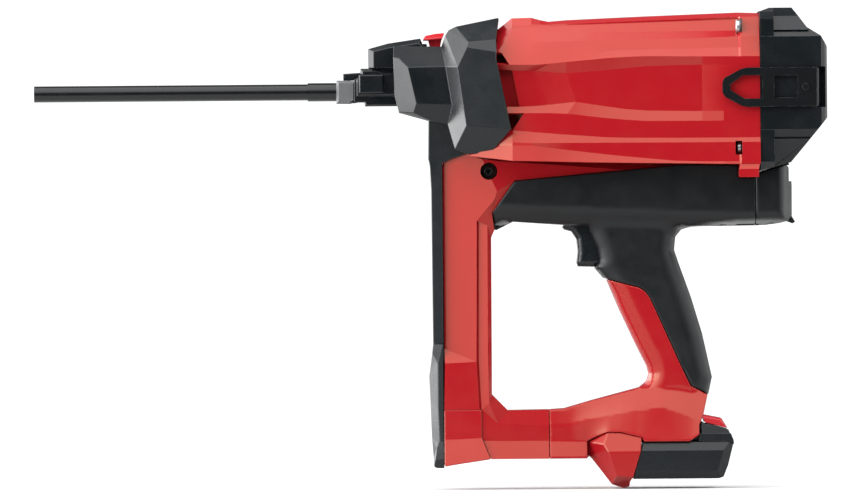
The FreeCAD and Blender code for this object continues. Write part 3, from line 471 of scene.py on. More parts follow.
def field(outline, height, middle, creases=(), step=2.2, edge=0.8, open_when=None, whole=False):
    """Skin over an outline whose distance from the middle plane is height(x, z), with its rim closed."""
    border = resampled(outline, step)
    xs = np.arange(min(x for x, z in outline), max(x for x, z in outline), step)
    zs = np.arange(min(z for x, z in outline), max(z for x, z in outline), step)
    gx, gz = np.meshgrid(xs, zs)
    gx = (gx + (np.arange(len(zs)) % 2)[:, None] * step / 2).ravel()
    gz = gz.ravel()
    keep = inside(gx, gz, outline) & (distance(gx, gz, outline, True) > edge + 0.7)
    runs = [resampled(line, step, False) for line in creases]
    for line in creases:
        keep &= distance(gx, gz, list(line)) > 0.6
    rings = []
    for share in (0.12, 0.4, 1.0):
        ring = resampled(inset(outline, edge * share), step)
        ok = inside(np.array([p[0] for p in ring]), np.array([p[1] for p in ring]), outline)
        rings += [p for p, good in zip(ring, ok) if good]
    flat = [Vector(p) for p in border]
    edges = []
    for line in runs:
        start = len(flat)
        flat += [Vector(p) for p in line]
        edges += [(start + i, start + i + 1) for i in range(len(line) - 1)]
    flat += [Vector(p) for p in rings] + [Vector(p) for p in zip(gx[keep], gz[keep])]
    co, _, tris, _, _, _ = delaunay_2d_cdt(flat, edges, [list(range(len(border)))], 1, 1e-4)
    px, pz = np.array([c[0] for c in co]), np.array([c[1] for c in co])
    y = height(px, pz)
    d = np.clip(distance(px, pz, outline, True), 0, edge)
    y = y - (edge - np.sqrt(np.maximum(edge**2 - (edge - d) ** 2, 0)))
    y = np.maximum(y, PARTING)
    verts = [(a, -b, c) for a, b, c in zip(px, y, pz)]
    faces = [list(t) for t in tris]
    count = {}
    for t in faces:
        for a, b in zip(t, t[1:] + t[:1]):
            key = (min(a, b), max(a, b))
            count[key] = count.get(key, 0) + 1
    inner = {}
    for (a, b), n in count.items():
        if n == 1 and not (open_when and open_when((px[a] + px[b]) / 2, (pz[a] + pz[b]) / 2)):
            for v in (a, b):
                if v not in inner:
                    inner[v] = len(verts)
                    verts.append((px[v], 0.0 if whole else -PARTING, pz[v]))
            faces.append([a, b, inner[b], inner[a]])
    left = build(verts, faces)
    face_outwards(left, middle)
    if not whole:
        return left
    both = joined(left, flipped(left))
    bmesh.ops.remove_doubles(both, verts=both.verts, dist=HALVES_MERGE)
    return both


def piece(bm, name, body, slot_name, nodes=(), bevel=0.5, angle=12.0, segments=2):
    """Finishes a mesh as a named part of the tool."""
    bmesh.ops.scale(bm, vec=(MM, MM, MM), verts=bm.verts)
    made = to_object(bm, name)
    made.data.polygons.foreach_set("use_smooth", [True] * len(made.data.polygons))
    if bevel:
        mod = made.modifiers.new("edges", "BEVEL")
        mod.width, mod.segments, mod.limit_method = bevel * MM, segments, "ANGLE"
        mod.angle_limit, mod.use_clamp_overlap = math.radians(angle), True
        mod.harden_normals = True
    weighted = made.modifiers.new("shading", "WEIGHTED_NORMAL")
    weighted.keep_sharp = True
    made.data.materials.append(FINISH[slot_name])
    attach(made, body)
    if nodes:
        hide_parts(*nodes)
    return made


def pair(left, name, slot_name, **finish):
    """Left and right housing halves from the left one."""
    right = flipped(left)
    piece(left, name + "_left_skin", "housing", slot_name, [name + "_left"], **finish)
    piece(right, name + "_right_skin", "housing", slot_name, [name + "_right"], **finish)


# ---------------------------------------------------------------- barrel
BARREL_X = (372, 384.5, 400, 407, 414, 428, 436, 446, 460, 476, 492, 514, 536, 553, 565.4, 567.0, 582.2)
RAMP = (4, 5)  # the stations where the side panel's slanted step starts and ends
PANEL_Y = (47.3, 50.6)  # the panel's y in front of the step and behind it
BARREL_WALL = 2.6
LOW_EDGE = [(349, -52.4), (356, -55), (364, -56.2), (394, -56.9), (451, -58.6), (519, -59.8), (565, -60.6)]
UNDER_EDGE = [(x, z - 0.3) for x, z in LOW_EDGE]
# each line: x of its first two stations, x of its step, z along x, y along x
# the end values of a table hold beyond its ends
BARREL_LINES = [
    (372, 384.5, None,
     [(372, 48.5), (384.5, 58.3), (400, 58.6), (407, 56.6), (414, 55.4), (420, 56.2), (486, 58.9),
      (566, 61.6), (580, 61)], PARTING),
    (372, 384.5, None,
     [(372, 48.1), (384.5, 57.9), (400, 58.2), (407, 56.2), (414, 54.8), (420, 55.4), (486, 58), (566, 60.9),
      (580, 60.5)], [(372, 16), (400, 22), (566, 22), (580, 23)]),
    (372, 384.5, None,
     [(372, 44), (384.5, 51.4), (400, 52.6), (414, 52.2), (420, 52.8), (566, 57.4), (580, 57.8)],
     [(372, 24), (400, 28), (565.4, 30), (567, 31.5)]),
    (372, 384.5, None,
     [(372, 43), (384.5, 49.5), (400, 50.6), (414, 50.6), (420, 51.4), (566, 55.6), (580, 56.2)],
     [(372, 26), (407, 29.5), (414, 29.2), (420, 28.6), (565.4, 29.5), (567, 33.5)]),
    (372, 383, None,
     [(372, 41), (384.5, 44.8), (414, 45.8), (566, 46.4), (580, 46)],
     [(372, 30), (384.5, 33), (414, 33.5), (565.4, 35), (567, 41)]),
    (372, 377, None,
     [(372, 35.5), (384.5, 37.3), (414, 38.3), (465, 39.3), (526, 40), (566, 41.6), (580, 41.8)],
     [(372, 36.5), (384.5, 40), (420, 41.5), (565.4, 42.5), (567, 45)]),
    (372, 376, None,
     [(372, 30.4), (377, 29.6), (400, 29.6), (580, 33)],
     [(372, 42), (384.5, 45.5), (420, 47), (565.4, 47), (567, 49.6)]),
    (372, 382, None,
     [(372, 20.4), (382, 20.1), (405, 19.8), (427, 21.8), (465, 25.2), (492, 26.1), (526, 25.6), (580, 25.4)],
     [(372, 49.5), (407, 52.2), (432, 52.4), (536, 52.6), (560, 54)]),
    (372, 384.3, (403, 427),
     [(372, 16.8), (384, 15.6), (405, 15.0), (427, 12.9), (454, 14.6), (492, 18.1), (526, 18.9)], "panel"),
    (372, 390, (414, 435),
     [(390, -13.6), (405, -13.0), (434, -9.9), (455, -13.2), (483, -17.2), (526, -18.1)], "panel"),
    (372, 393.4, None,
     [(372, -18.4), (394, -18.7), (419, -18.9), (434, -20), (455, -22.9), (487, -25.8), (580, -26.1)],
     [(372, 49), (407, 51.8), (455, 53.6), (536, 53.8), (560, 54)]),
    (372, 384.2, None,
     [(372, -32), (384, -32.4), (418, -35.5), (465, -39.0), (526, -39.5)],
     [(372, 46), (384, 49.6), (400, 51.8), (455, 53.6), (536, 53.8), (560, 54)]),
    (372, 384, None,
     [(361, -40.6), (384, -42.0), (398, -42.8), (526, -43.1)],
     [(372, 46), (384, 51.5), (398, 54.2), (405, 55.4), (565.4, 55.6), (567, 56.4)]),
    (361, 384, None,
     [(361, -44.5), (384, -44.6), (398, -44.4), (418, -47.2), (465, -53), (510, -57.4), (521, -58.4),
      (580, -58.6)],
     [(361, 40), (372, 45.5), (384, 52.2), (398, 54), (406, 54.5), (418, 54.7), (465, 55.4), (510, 55.6),
      (565.4, 55.6), (567, 56.4)]),
    (349, 384, None, LOW_EDGE,
     [(349, 39), (361, 44), (372, 49.6), (384, 54.8), (400, 57), (437, 57.4), (489, 57.2), (521, 56.8),
      (565.4, 56), (567, 56.4)]),
    (349, 384, None, UNDER_EDGE, 30), (349, 384, None, UNDER_EDGE, PARTING),
]
OPENINGS = {6: 16.0, 8: 6.5, 10: 16.0}  # lines above the three front openings, and their depths


def panel_y(x, step):
    """Side panel: low in front of the slanted step, higher behind it, level with the ridges at the back."""
    low, high = PANEL_Y
    return along([(step[0], low), (step[1], high), (536, high), (553, 53.4), (580, 54)], x)


def barrel_half():
    """Left half: skin through the lines, three pockets in front, the tab and the lower bolt's room."""
    rows = []
    for front_x, end_x, step, z_along, y_along in BARREL_LINES:
        row = []
        for k, x in enumerate(BARREL_X):
            at = {0: front_x, 1: end_x}.get(k, x)
            if step and k in RAMP:
                at = step[RAMP.index(k)]
            elif step and k in (2, 3):
                at = end_x + (step[0] - end_x) * (k - 1) / 3
            y = panel_y(at, step) if y_along == "panel" else along(y_along, at)
            row.append((at, -y, along(z_along, at)))
        rows.append(row)
    verts, faces = grid(rows, {(r, 0) for r in OPENINGS})
    skin = build(verts, faces)
    face_outwards(skin, (480, 0, 0))
    shell = thickened(skin, BARREL_WALL)
    for r, depth in OPENINGS.items():
        mouth = [rows[r][0], rows[r][1], rows[r + 1][1], rows[r + 1][0]]
        beyond = [(-1, 2), (2, 2), (2, -2), (-1, -2)]
        around = [(x + dx, y, z + dz) for (x, y, z), (dx, dz) in zip(mouth, beyond)]
        cup = loft([[(x, y + 1.6, z) for x, y, z in around], [(x, y + depth + 1.5, z) for x, y, z in around]])
        room = loft([[(x, y - 4, z) for x, y, z in mouth], [(x, y + depth, z) for x, y, z in mouth]])
        shell = joined(shell, cut(cup, room))
    tab_steps = ((566.6, 582.2, 54, -55.4), (565.0, 580.8, 57.4, -64.8), (565.0, 580.6, 57.3, -71.2))
    tab = loft([[(x0, -26.6, z), (x0, -y, z), (x1, -y, z), (x1, -26.6, z)] for x0, x1, y, z in tab_steps])
    bolt_room = convex((562.2, -60, -53.2), (567.6, -39, -42.2))
    bolt_cup = convex((560.8, -54, -54.6), (568.8, -37.5, -40.8))
    bolt_cup = cut(bolt_cup, bolt_room.copy())
    return joined(cut(shell, bolt_room), tab, bolt_cup)


pair(barrel_half(), "barrel_shell", "red_plastic", bevel=0.55, angle=9.0)


# ---------------------------------------------------------------- rear cap
def rear_cap():
    """Hollow cap: body, front strip and the raised top and bottom, with the hook's slot and the louvres."""
    low_side = side_planes((580, -67), (607, -59.5), (623, -40), (636, -24))
    top_front = side_planes((580, 60.5), (590.5, 64.5))
    back = [((631.2, -55, 0), (1.0, -1.0, 0.0)), ((634, -52.2, 0), (1.0, -0.45, 0.0))]
    body = convex((582.4, -55, -67), (636, 55, 62), [
        *side_planes((631, 41.5), (601, 61)), *side_planes((631, 41.5), (636, 33)), *low_side,
        *end_planes((-55, 41), (-49, 46.4), (-30, 60)), *end_planes((-55, -35.5), (-50, -40.9), (-33, -67)),
        *back])
    strip = convex((582.4, -54.7, -67), (593.5, 54.7, 64.5), [
        *top_front, low_side[0], *end_planes((-55, 55), (-45, 61), (-33, 64.5)),
        *end_planes((-55, -59), (-44, -67))])
    top = convex((590.0, -51, 46.4), (623, 51, 64.5), [
        *top_front, *side_planes((608.5, 64.5), (620.4, 48)), *side_planes((621.5, 46.4), (620.4, 48)),
        *end_planes((-51, 46.4), (-44, 57.5), (-33, 64.5)), *back])
    low = convex((590.0, -51.8, -67), (624, 51.8, -40.9), [
        *low_side[:2], *end_planes((-51.8, -40.9), (-36, -64), (-31, -67)), *back])
    whole = body
    for part in (top, low, strip):
        whole = combine(whole, part, "UNION")
    room = convex((584, -51.5, -61), (632.6, 51.5, 58), [
        *side_planes((627, 39), (600, 57)), *side_planes((606, -55), (620, -38), (632.6, -22)),
        *end_planes((-51.5, 38), (-27, 56)), *end_planes((-51.5, -34), (-31, -61)),
        ((623, -51.5, 0), (1.0, -1.0, 0.0))])
    behind_slot = convex((616, -56, -21), (636, -40, 22))
    mouth = lengthwise([(circle(43.5, 64), x) for x in (581.5, 585)])
    slot = convex((620.8, -70, -15.8), (634.6, -44.2, 16.8))
    louvres = [convex((628, -28, z), (640, 28, z + 4.5)) for z in (-17, -8, 1, 10, 19)]
    return cut(whole, cut(room, behind_slot), mouth, slot, *louvres)


piece(rear_cap(), "rear_cap_skin", "housing", "black_plastic", ["rear_cap"], bevel=0.9, angle=14.0,
      segments=3)


# ---------------------------------------------------------------- nose shroud
SHROUD = {
    "a": (293.5, 26.1, 28.6), "b": (300.6, 18.9, 37.4), "c": (307.4, -10.5, 37), "d": (305.3, -17.6, 34),
    "K": (289, 27, 26), "J": (289.6, -2.5, 25), "I": (293.2, -16.8, 26), "L": (289.3, 36.8, 14.4),
    "H": (318.8, -24, 31), "G": (332.4, -27, 31), "e": (331, 19.3, 38.2), "f": (336, -11.4, 38.5),
    "g": (340.6, 18.6, 52), "h": (347.3, -28.6, 54), "F": (338, -47, 38), "E": (347, -50.8, 40),
    "D": (366.4, -51, 42), "C": (383, -31.7, 57.5), "B": (371.3, 25.5, 56.5), "k": (349.3, 38.6, 45),
    "l": (371.3, 40.3, 46), "m": (348.2, 34.7, 47.5), "n": (371.8, 30.6, 53), "p": (327.8, 35.8, 15.7),
    "O": (330.8, 44.4, 19), "P": (333.7, 48.7, 21), "Q": (339.4, 51.5, 23), "A": (373.7, 58.3, 23),
    # towards the middle
    "K1": (289, 27, 18.5), "J1": (289.6, -2.5, 18.5), "I1": (292.4, -13.5, 18.5), "L1": (289.2, 30, 14.4),
    "I2": (293.2, -16.8, 0), "I3": (292.4, -13.5, 0), "H2": (318.8, -24, 0), "G2": (332.4, -27, 20.6),
    "F2": (338, -47, 20.6), "E2": (347, -50.8, 20.6), "D2": (366.4, -51, 20.6), "G3": (332.4, -27, 0),
    "F3": (338, -47, 0), "p0": (327.8, 35.8, 0), "O0": (330.8, 44.4, 0), "P0": (333.7, 48.7, 0),
    "Q0": (339.4, 51.5, 0), "A0": (373.7, 58.3, 0),
}
SHROUD_FACES = [
    "K a b c J", "J c d I", "L p e b a K", "b e f c", "c f G H d", "d H I",
    "e g h f", "f h F G", "p O g e", "O P k m g", "P Q k", "Q A l k", "k l n m", "m n B C h g", "h C D E F",
    "L K K1 L1", "K J J1 K1", "J I I1 J1", "I I2 I3 I1", "I H H2 I2", "H G G3 H2",
    "G F F2 G2", "G2 F2 F3 G3", "F E E2 F2", "E D D2 E2",
    "p p0 O0 O", "O O0 P0 P", "P P0 Q0 Q", "Q Q0 A0 A",
]


def shroud_half():
    names = list(SHROUD)
    verts = [(x, -max(y, PARTING), z) for x, z, y in SHROUD.values()]
    faces = [[names.index(n) for n in face.split()] for face in SHROUD_FACES]
    skin = build(verts, faces)
    face_outwards(skin, (345, 0, 0))
    return thickened(skin, 2.4)


pair(shroud_half(), "nose_shroud", "black_plastic", bevel=0.7, angle=9.0)


# ---------------------------------------------------------------- frame: column, wedge and front of the bar
FRAME = {
    "c1": (328, -57.5, 13.2), "c2": (336, -53.8, 15.5), "c3": (347, -51, 18.4), "c4": (360, -55, 20.3),
    "c5": (371.5, -81, 22), "c6": (369.7, -87, 21.7), "c7": (355, -104.5, 20.4), "c8": (354, -217.5, 20.2),
    "c9": (328.5, -207, 12.6), "c10": (328.7, -218.7, 20), "c11": (356, -256, 19.6), "c12": (328, -256, 20),
    "g1": (355.6, -104.8, 17.6), "g2": (354.9, -217.5, 17.6), "g3": (356.9, -256, 17.8),
    "s1": (356.7, -105.4, 18.2), "s2": (355.9, -217.5, 18.2), "s3": (357.9, -255.9, 18.6),
    "s4": (363.6, -108, 20.4), "s5": (363.2, -217.5, 20.4), "s6": (364, -251, 20),
    "s7": (367.2, -98.3, 19.5), "s8": (369.2, -112, 16.4), "s9": (366.6, -118, 17),
    "s10": (366.4, -217.5, 17), "s11": (366.3, -244, 16),
    "w1": (526, -59.6, 17), "w2": (520.6, -60.4, 20.5), "w4": (474.7, -64.4, 22.4), "w5": (418, -69.4, 22.4),
    "w6": (385.6, -72.3, 22.4), "w7": (374.6, -88.0, 21), "w8": (377.3, -57.1, 22), "w9": (362, -54.8, 17),
    "w10": (519, -59.6, 17), "w11": (451, -58.6, 17), "w12": (394, -56.0, 17),
    "b1": (378.8, -256.8, 16), "b2": (411.8, -256.4, 16), "b3": (411.8, -269, 17.8),
    "b4": (371, -267.4, 17.8), "b5": (411.8, -281.5, 18), "b6": (359.5, -281.2, 18),
    "b7": (358.2, -278.4, 18.2), "b8": (358.2, -256, 18.6),
    "b9": (411.8, -295.8, 22.2), "b10": (365.2, -295.8, 22.2),
}
FRAME_FACES = [
    "c1 c2 c3 c4 c5 c6 c7 c8 c9", "c9 c8 c10", "c10 c8 c11 c12",
    "c7 g1 g2 c8", "c8 g2 g3 c11", "g1 s1 s2 g2", "g2 s2 s3 g3", "s1 s4 s5 s2", "s2 s5 s6 s3",
    "c6 s7 s8 s9 s4 s1 g1 c7", "s4 s9 s10 s5", "s5 s10 s11 s6",
    "c4 w8 w5 w6 c5", "c5 w6 w7 s7 c6", "w8 w4 w5", "w9 w12 w8 c4", "w12 w11 w4 w8", "w11 w10 w1 w2 w4",
    "s6 s11 b1 b4", "s3 s6 b4 b8", "b1 b2 b3 b4", "b4 b3 b5 b6 b7 b8", "b6 b5 b9 b10", "c3 w9 c4",
]
FRAME_RIM = ("c1 c2 c3 w9 w12 w11 w10 w1 w2 w4 w5 w6 w7 s7 s8 s9 s10 s11 b1 b2 b3 b5 b9 b10 b6 b7 b8 s3 g3 "
             "c11 c12 c10 c9")
CROSS_BOLT = (365.1, -64.7)


def frame_half():
    """Left half, with a cup for the cross screw's head."""
    shell = thickened(relief(FRAME, FRAME_FACES, FRAME_RIM, (400, 0, -100)), 2.2)
    hole = round_bar(*CROSS_BOLT, 6.9, -30, -12.3)
    cup = cut(round_bar(*CROSS_BOLT, 8.0, -19.0, -10.8), hole.copy())
    return joined(cut(shell, hole), cup)


pair(frame_half(), "frame", "red_plastic", angle=8.0)

FOOT_END = {
    "a": (328, -256.3, 20), "b": (357.9, -256.3, 20), "c": (357.9, -278.5, 20.2), "d": (328, -279.8, 20.2),
    "e": (364.9, -295.8, 25.4), "f": (340, -299.5, 26.4), "g": (328, -301.5, 26.8),
}
piece(thickened(relief(FOOT_END, ["a b c d", "d c e f g"], "a b c e f g d", (345, 0, -278), whole=True), 2.4),
      "column_foot_skin", "housing", "red_plastic", ["column_foot"], bevel=0.6)


# ---------------------------------------------------------------- handle and foot
GRIP_FRONT = [(440, -60), (440, -105), (447, -116.6), (451.8, -128.6), (453.3, -136.6), (449.3, -143),
              (458.8, -152), (469, -176.7), (482.4, -205.6), (490.8, -222.5), (492.2, -228.5), (490.5, -234),
              (484.5, -239.3), (446, -249.4)]
GRIP_BACK = [(540, -60), (534, -104), (527, -110.6), (519.5, -112.8), (514.8, -118.5), (513.8, -129),
             (517, -138.7), (527.2, -167.6), (535.8, -196.4), (543.4, -231.4), (540.4, -245.2), (535, -262)]
GRIP_AREA = GRIP_FRONT + [(446, -300), (560, -300)] + GRIP_BACK[::-1]
GRIP_HALF = 17.5  # half of the grip's width
GRIP_ROUND = 15.0  # how far in from its front and back the grip reaches that width
GRIP_EDGE = 3.2  # half width at the very edge
TRIGGER_SLOT_HALF = 9.6  # the same above z = -151, beside the trigger


def rounded(d, radius, start, full):
    """Quarter-round rise from start, at the edge, to full, one radius in from it."""
    return start + (full - start) * np.sqrt(1 - (1 - np.clip(d / radius, 0, 1)) ** 2)


def grip_height(x, z):
    """Rounded section of the handle, the same across the black and the red part."""
    in_grip = inside(x, z, GRIP_AREA)
    front_edge = np.interp(z, (-162, -151), (GRIP_EDGE, TRIGGER_SLOT_HALF))
    front = rounded(np.where(in_grip, distance(x, z, GRIP_FRONT), 0), GRIP_ROUND, front_edge, GRIP_HALF)
    back = rounded(np.where(in_grip, distance(x, z, GRIP_BACK), 0), GRIP_ROUND, GRIP_EDGE, GRIP_HALF)
    return np.where(in_grip, np.minimum(front, back), 0)


HANDLE_SIDE = [
    (367.9, -98.0), (385.8, -72.7), (418, -69.8), (475.5, -64.8), (520.8, -60.7), (534, -60.9),
    (565.4, -61.2), (565.6, -71.4), (578.8, -71.0), (578.8, -109.8), (534, -110.2), *GRIP_BACK[2:11],
    (526.2, -238), (520, -225.1), (502.7, -186.6), (494, -167.3), (490, -161.6), (485.2, -158.6),
    (456.4, -151.1), *GRIP_FRONT[5:1:-1], (440, -109.4), (384.3, -105.4), (370.3, -112.3),
]
HANDLE_CREASE = [(372, -93.2), (440, -96), (563, -101)]
HOUSING_HALF = 26.0
HOUSING_FLAT = [(368, -93), (440, -96), (565, -101)]
HOUSING_LOW = [(368, -108), (376, -106.6), (440, -109.6), (480, -113.5), (530, -111), (566, -107.7)]


def housing_height(x, z):
    """Gas housing: flat side that rounds under towards its lower edge."""
    top = np.interp(x, *zip(*HOUSING_FLAT))
    low = np.interp(x, *zip(*HOUSING_LOW))
    chamfer = HOUSING_HALF - 0.8 * (top - z)
    edge = 6.0 + rounded(np.maximum(z - low, 0), 7.0, 0.0, 20.0)
    side = -smooth_max(-chamfer, np.full(z.shape, -HOUSING_HALF), 2.5)
    return np.where(z > low - 1.0, np.minimum(side, edge), 0)


def handle_height(x, z):
    return smooth_max(housing_height(x, z), grip_height(x, z), 3.0)


def handle_opening(x, z):
    """The housing is open at the back for the can, and under its front for the trigger."""
    return x > 578.6 or (441 < x < 462 and -151.5 < z < -110)


def handle_half():
    """Left half of the black handle, with a crease where the housing's side starts to round under."""
    skin = field(HANDLE_SIDE, handle_height, (480, 0, -100), creases=[HANDLE_CREASE], edge=1.0,
                 open_when=handle_opening)
    return thickened(skin, 1.2)


pair(handle_half(), "handle", "black_grip", bevel=0)

FOOT_SIDE = [
    (412.2, -256.4), (424.4, -255.6), *GRIP_FRONT[:6:-1], (458.8, -152.2), (485, -159), (489.6, -162),
    (493.8, -167.6), (502.4, -186.9), (519.7, -225.4), (525.9, -238.3), (539.4, -245.4), (535.8, -261.2),
    (532.3, -269.7), (532.2, -277.5), (524.2, -282.6), (487.8, -282.6), (486.5, -279.2), (469, -274.8),
    (458.7, -274.8), (448.3, -279), (442.6, -282), (442.6, -295.8), (412.2, -295.8),
]
FOOT_CREASES = [
    [(413.4, -269), (426.6, -268.7), (471.3, -258.3), (502.8, -254.4), (517.7, -259.5), (531.6, -266)],
    [(413.4, -281.5), (441.5, -281.9)],
]
FOOT_LINES = [  # z along x, y along x, from the top down; end values hold beyond a table
    ([(412, -256.4), (424, -255.6), (446, -249.4), (484.5, -239.3), (500, -236), (540, -240)],
     [(412, 16), (446, 15)]),
    ([(412, -269), (426.6, -268.7), (471.3, -258.3), (502.8, -254.4), (517.7, -259.5), (532.6, -266.2)],
     [(412, 17.8), (430, 18.2), (458, 22.6), (480, 25), (532, 25.6)]),
    ([(412, -281.5), (443, -281.9), (448, -279), (459, -274.8), (469, -274.8), (486, -279.2), (490, -282.6),
      (524, -282.6), (533, -277.5)], [(412, 18), (443, 18.4), (459, 25.8), (487, 30)]),
    ([(443, -295.8), (444, -283), (524, -283), (533, -278)],
     [(412, 22.2), (443, 22.4), (459, 27), (487, 30)]),
]


def ruled_height(x, z):
    rows = [(np.interp(x, *zip(*zs)), np.interp(x, *zip(*ys))) for zs, ys in FOOT_LINES]
    out = rows[0][1].copy()
    for (z0, y0), (z1, y1) in zip(rows, rows[1:]):
        share = np.clip((z0 - z) / np.maximum(z0 - z1, 0.01), 0, 1)
        out = np.where(z <= z0, y0 + (y1 - y0) * share, out)
    return out


def foot_height(x, z):
    rises = np.interp(x, *zip(*FOOT_LINES[0][0]))
    ruled = np.where(z < rises + 1, ruled_height(x, z), 0)
    blend = np.clip((rises - 2 - z) / -14.0 + 1, 0, 1)
    return smooth_max(grip_height(x, z) * blend, ruled, 3.0)


pair(thickened(field(FOOT_SIDE, foot_height, (480, 0, -250), creases=FOOT_CREASES, edge=0.9), 2.2),
     "foot", "red_plastic", bevel=0)

COVER_SIDE = [
    (579.2, -71.0), (579.9, -67.6), (603.8, -61.4), (607.4, -64.4), (608.5, -78), (608.4, -101.8),
    (605, -106.4), (598, -108.2), (587.4, -109.4), (579.2, -109.8),
]


def cover_height(x, z):
    back = np.where(x < 603, rounded(np.maximum(603 - x, 0), 7.0, 19.0, HOUSING_HALF), 19.0 - 1.6 * (x - 603))
    return np.minimum(housing_height(np.minimum(x, 578), z), back)


cover = thickened(field(COVER_SIDE, cover_height, (592, 0, -88), edge=1.0, open_when=lambda x, z: x < 579.6,
                        whole=True), 2.0)
cover = cut(cover, convex((592, -14.2, -74.5), (612, 14.2, -60)))
COVER_TAB = [(604, -99.5), (607, -100), (611.2, -107.2), (609, -108.4), (602, -105.8)]
cover_tab = domed(COVER_TAB, 6.0, inset(COVER_TAB, 0.6), 7)
piece(joined(cover, cover_tab), "gas_cover_skin", "gas_door", "black_grip", ["gas_cover"], bevel=0)

TRIGGER_SIDE = [
    (423.6, -109.8), (425.2, -112.0), (431.0, -113.6), (435.0, -119.5), (436.0, -130), (434.9, -138.5),
    (436.2, -141.8), (449, -142.2), (454.6, -141.6), (458.5, -139), (464, -134), (464, -106.5), (427, -106.5),
]


def trigger_height(x, z):
    share = np.clip(distance(x, z, TRIGGER_SIDE[:9]) / 4.5, 0, 1)
    return 3.5 + 4.5 * np.sqrt(1 - (1 - share) ** 2)


trigger = field(TRIGGER_SIDE, trigger_height, (448, 0, -128), step=1.6, edge=0.7, whole=True)
SPRING_RING = circle(4.2, 24, 0.0, -131.5)
spring_room = lengthwise([(SPRING_RING, 455), (SPRING_RING, 466)])
piece(cut(trigger, spring_room), "trigger_skin", "trigger", "black_plastic", ["trigger"], bevel=0)


# ---------------------------------------------------------------- battery end
GUARD = {
    "a": (443, -282.2, 15), "b": (458.7, -275.1, 24.5), "c": (469, -275.1, 26), "d": (486, -279.4, 29),
    "e": (476.5, -314.5, 24), "f": (476, -318.6, 21), "g": (471, -319.8, 18), "h": (462, -316.8, 14),
    "i": (446.5, -296.6, 13), "j": (443, -293, 13),
    "m": (455.6, -284.3, 27.5), "n": (458.9, -290.5, 31.2), "o": (485.2, -290.4, 31.2),
    "q": (478.9, -311.1, 31.2), "r": (465.3, -310.1, 31.2),
}
guard = relief(GUARD, ["a b m", "b c d o n m", "n o q r", "m n r h i j a", "r q e f g h"],
               "a b c d o q e f g h i j", (465, 0, -297), whole=True)
piece(guard, "battery_guard_skin", "housing", "red_plastic", ["battery_guard"], bevel=0.8, segments=3)


def battery_shell():
    """Body with a slanted rear corner, the raised rear end with the button's room, lip and step."""
    main = convex((478, -30, -312.5), (560, 30, -282.8), [
        *side_planes((487.6, -282.8), (479.2, -312)),
        *side_planes((560, -282.8), (555.3, -302), (551.6, -311.1), (547.6, -312.5)),
        *end_planes((-30, -306.8), (-25.5, -312.5)), *end_planes((-30, -290), (-27, -282.8)),
        plane_through((553.6, -30, -283), (546.8, -30, -306.6), (560, -24, -283))])
    rear = convex((534.2, -27, -285), (560, 27, -266.6), [
        *side_planes((534.2, -267), (555.6, -273.2), (559.8, -283)),
        *end_planes((-27, -277), (-24.6, -266.6))])
    room = slab([(536.2, -255), (536.2, -270.6), (547.6, -273.2), (555.6, -276.2), (556, -273.4),
                 (557.5, -270), (557.5, -255)], -25, 25)
    rear = cut(rear, room)
    lip = slab([(533, -276.2), (557.6, -276.4), (560, -282.4), (532, -282.4)], -28.2, 28.2)
    step = slab([(531.0, -269), (535, -268.6), (535, -284), (527, -284)], -13, 13)
    return joined(main, rear, lip, step)


piece(domed([(536.8, -267.4), (534.5, -261.2), (550.3, -264.3), (555.2, -272.3)], 21,
            [(536.8, -267.6), (534.9, -262.6), (549.4, -265.6), (554.8, -272.2)], 24.4),
      "battery_button_skin", "battery_latch", "red_button", ["battery_button"])
piece(battery_shell(), "battery_skin", "battery", "black_plastic", ["battery_case"], bevel=0.8, segments=3)


# ---------------------------------------------------------------- front strip and toe
STRIP = {
    "a": (316.9, -21, 16), "b": (316.4, -54, 16.4), "c": (317.6, -60, 16.4), "d": (318.6, -80, 16.2),
    "e": (319.2, -203, 16), "g": (327.7, -203, 17.4), "h": (327.7, -58.0, 17.4), "i": (335.6, -54.4, 18.6),
    "j": (346.6, -51.2, 19.5), "k": (350, -45, 20.2), "l": (334, -26, 19.6),
}
piece(relief(STRIP, ["a b h i j k l", "b c h", "c d h", "d e g h"], "a b c d e g h i j k l", (326, 0, -150),
             whole=True),
      "front_strip_skin", "housing", "black_plastic", ["front_rail"], bevel=0.7)

BUMPER = {
    "a": (319.2, -203.3, 16), "b": (318.4, -211, 12), "c": (315.9, -229.3, 7), "d": (316.9, -252.7, 7),
    "e": (317.8, -278.3, 7), "f": (319.1, -294.6, 7.5), "g": (319.4, -301.8, 9), "h": (321.6, -303, 9),
    "i": (327.7, -303, 12), "j": (327.7, -296, 17.4), "k": (327.7, -281, 17.4), "l": (327.7, -254.9, 17.4),
    "m": (327.7, -203.3, 17.4), "n": (322.9, -218.6, 16.6), "o": (322.9, -254.9, 16.6),
    "p": (324, -281, 16.6), "q": (321.6, -287, 14), "r": (320.2, -297, 12.6),
}
piece(relief(BUMPER, ["a b n m", "b c n", "n c d o", "o d e p", "n o l m", "o p k l", "p e q", "e f q",
                      "f g r q", "p q r j k", "r g h i j"], "a b c d e f g h i j k l m", (325, 0, -250),
                      whole=True),
      "bumper_skin", "housing", "black_plastic", ["front_wear_pad", "front_bumper"], bevel=0.6)


# ---------------------------------------------------------------- hood, its button and the moving block
HOOD_SIDE = [(268.8, 18.9), (268.8, 34.3), (284.6, 38.6), (310.9, 42.5), (312.4, 38.5), (314.6, 35.4),
             (314.6, 18.9)]
HOOD_FACE = [(273.2, 18.9), (273.2, 32.2), (285.5, 35.2), (309.8, 38.6), (312.0, 36.6), (314.6, 34.4),
             (314.6, 18.9)]
hood = domed(HOOD_SIDE, 8.5, HOOD_FACE, 13.9)
hood_tail = across([([(314, 20), (314, 34.2), (327, 35.2), (332, 20)], -13.9),
                    ([(314, 20), (314, 35.2), (327, 36), (332, 20)], -8.2)])
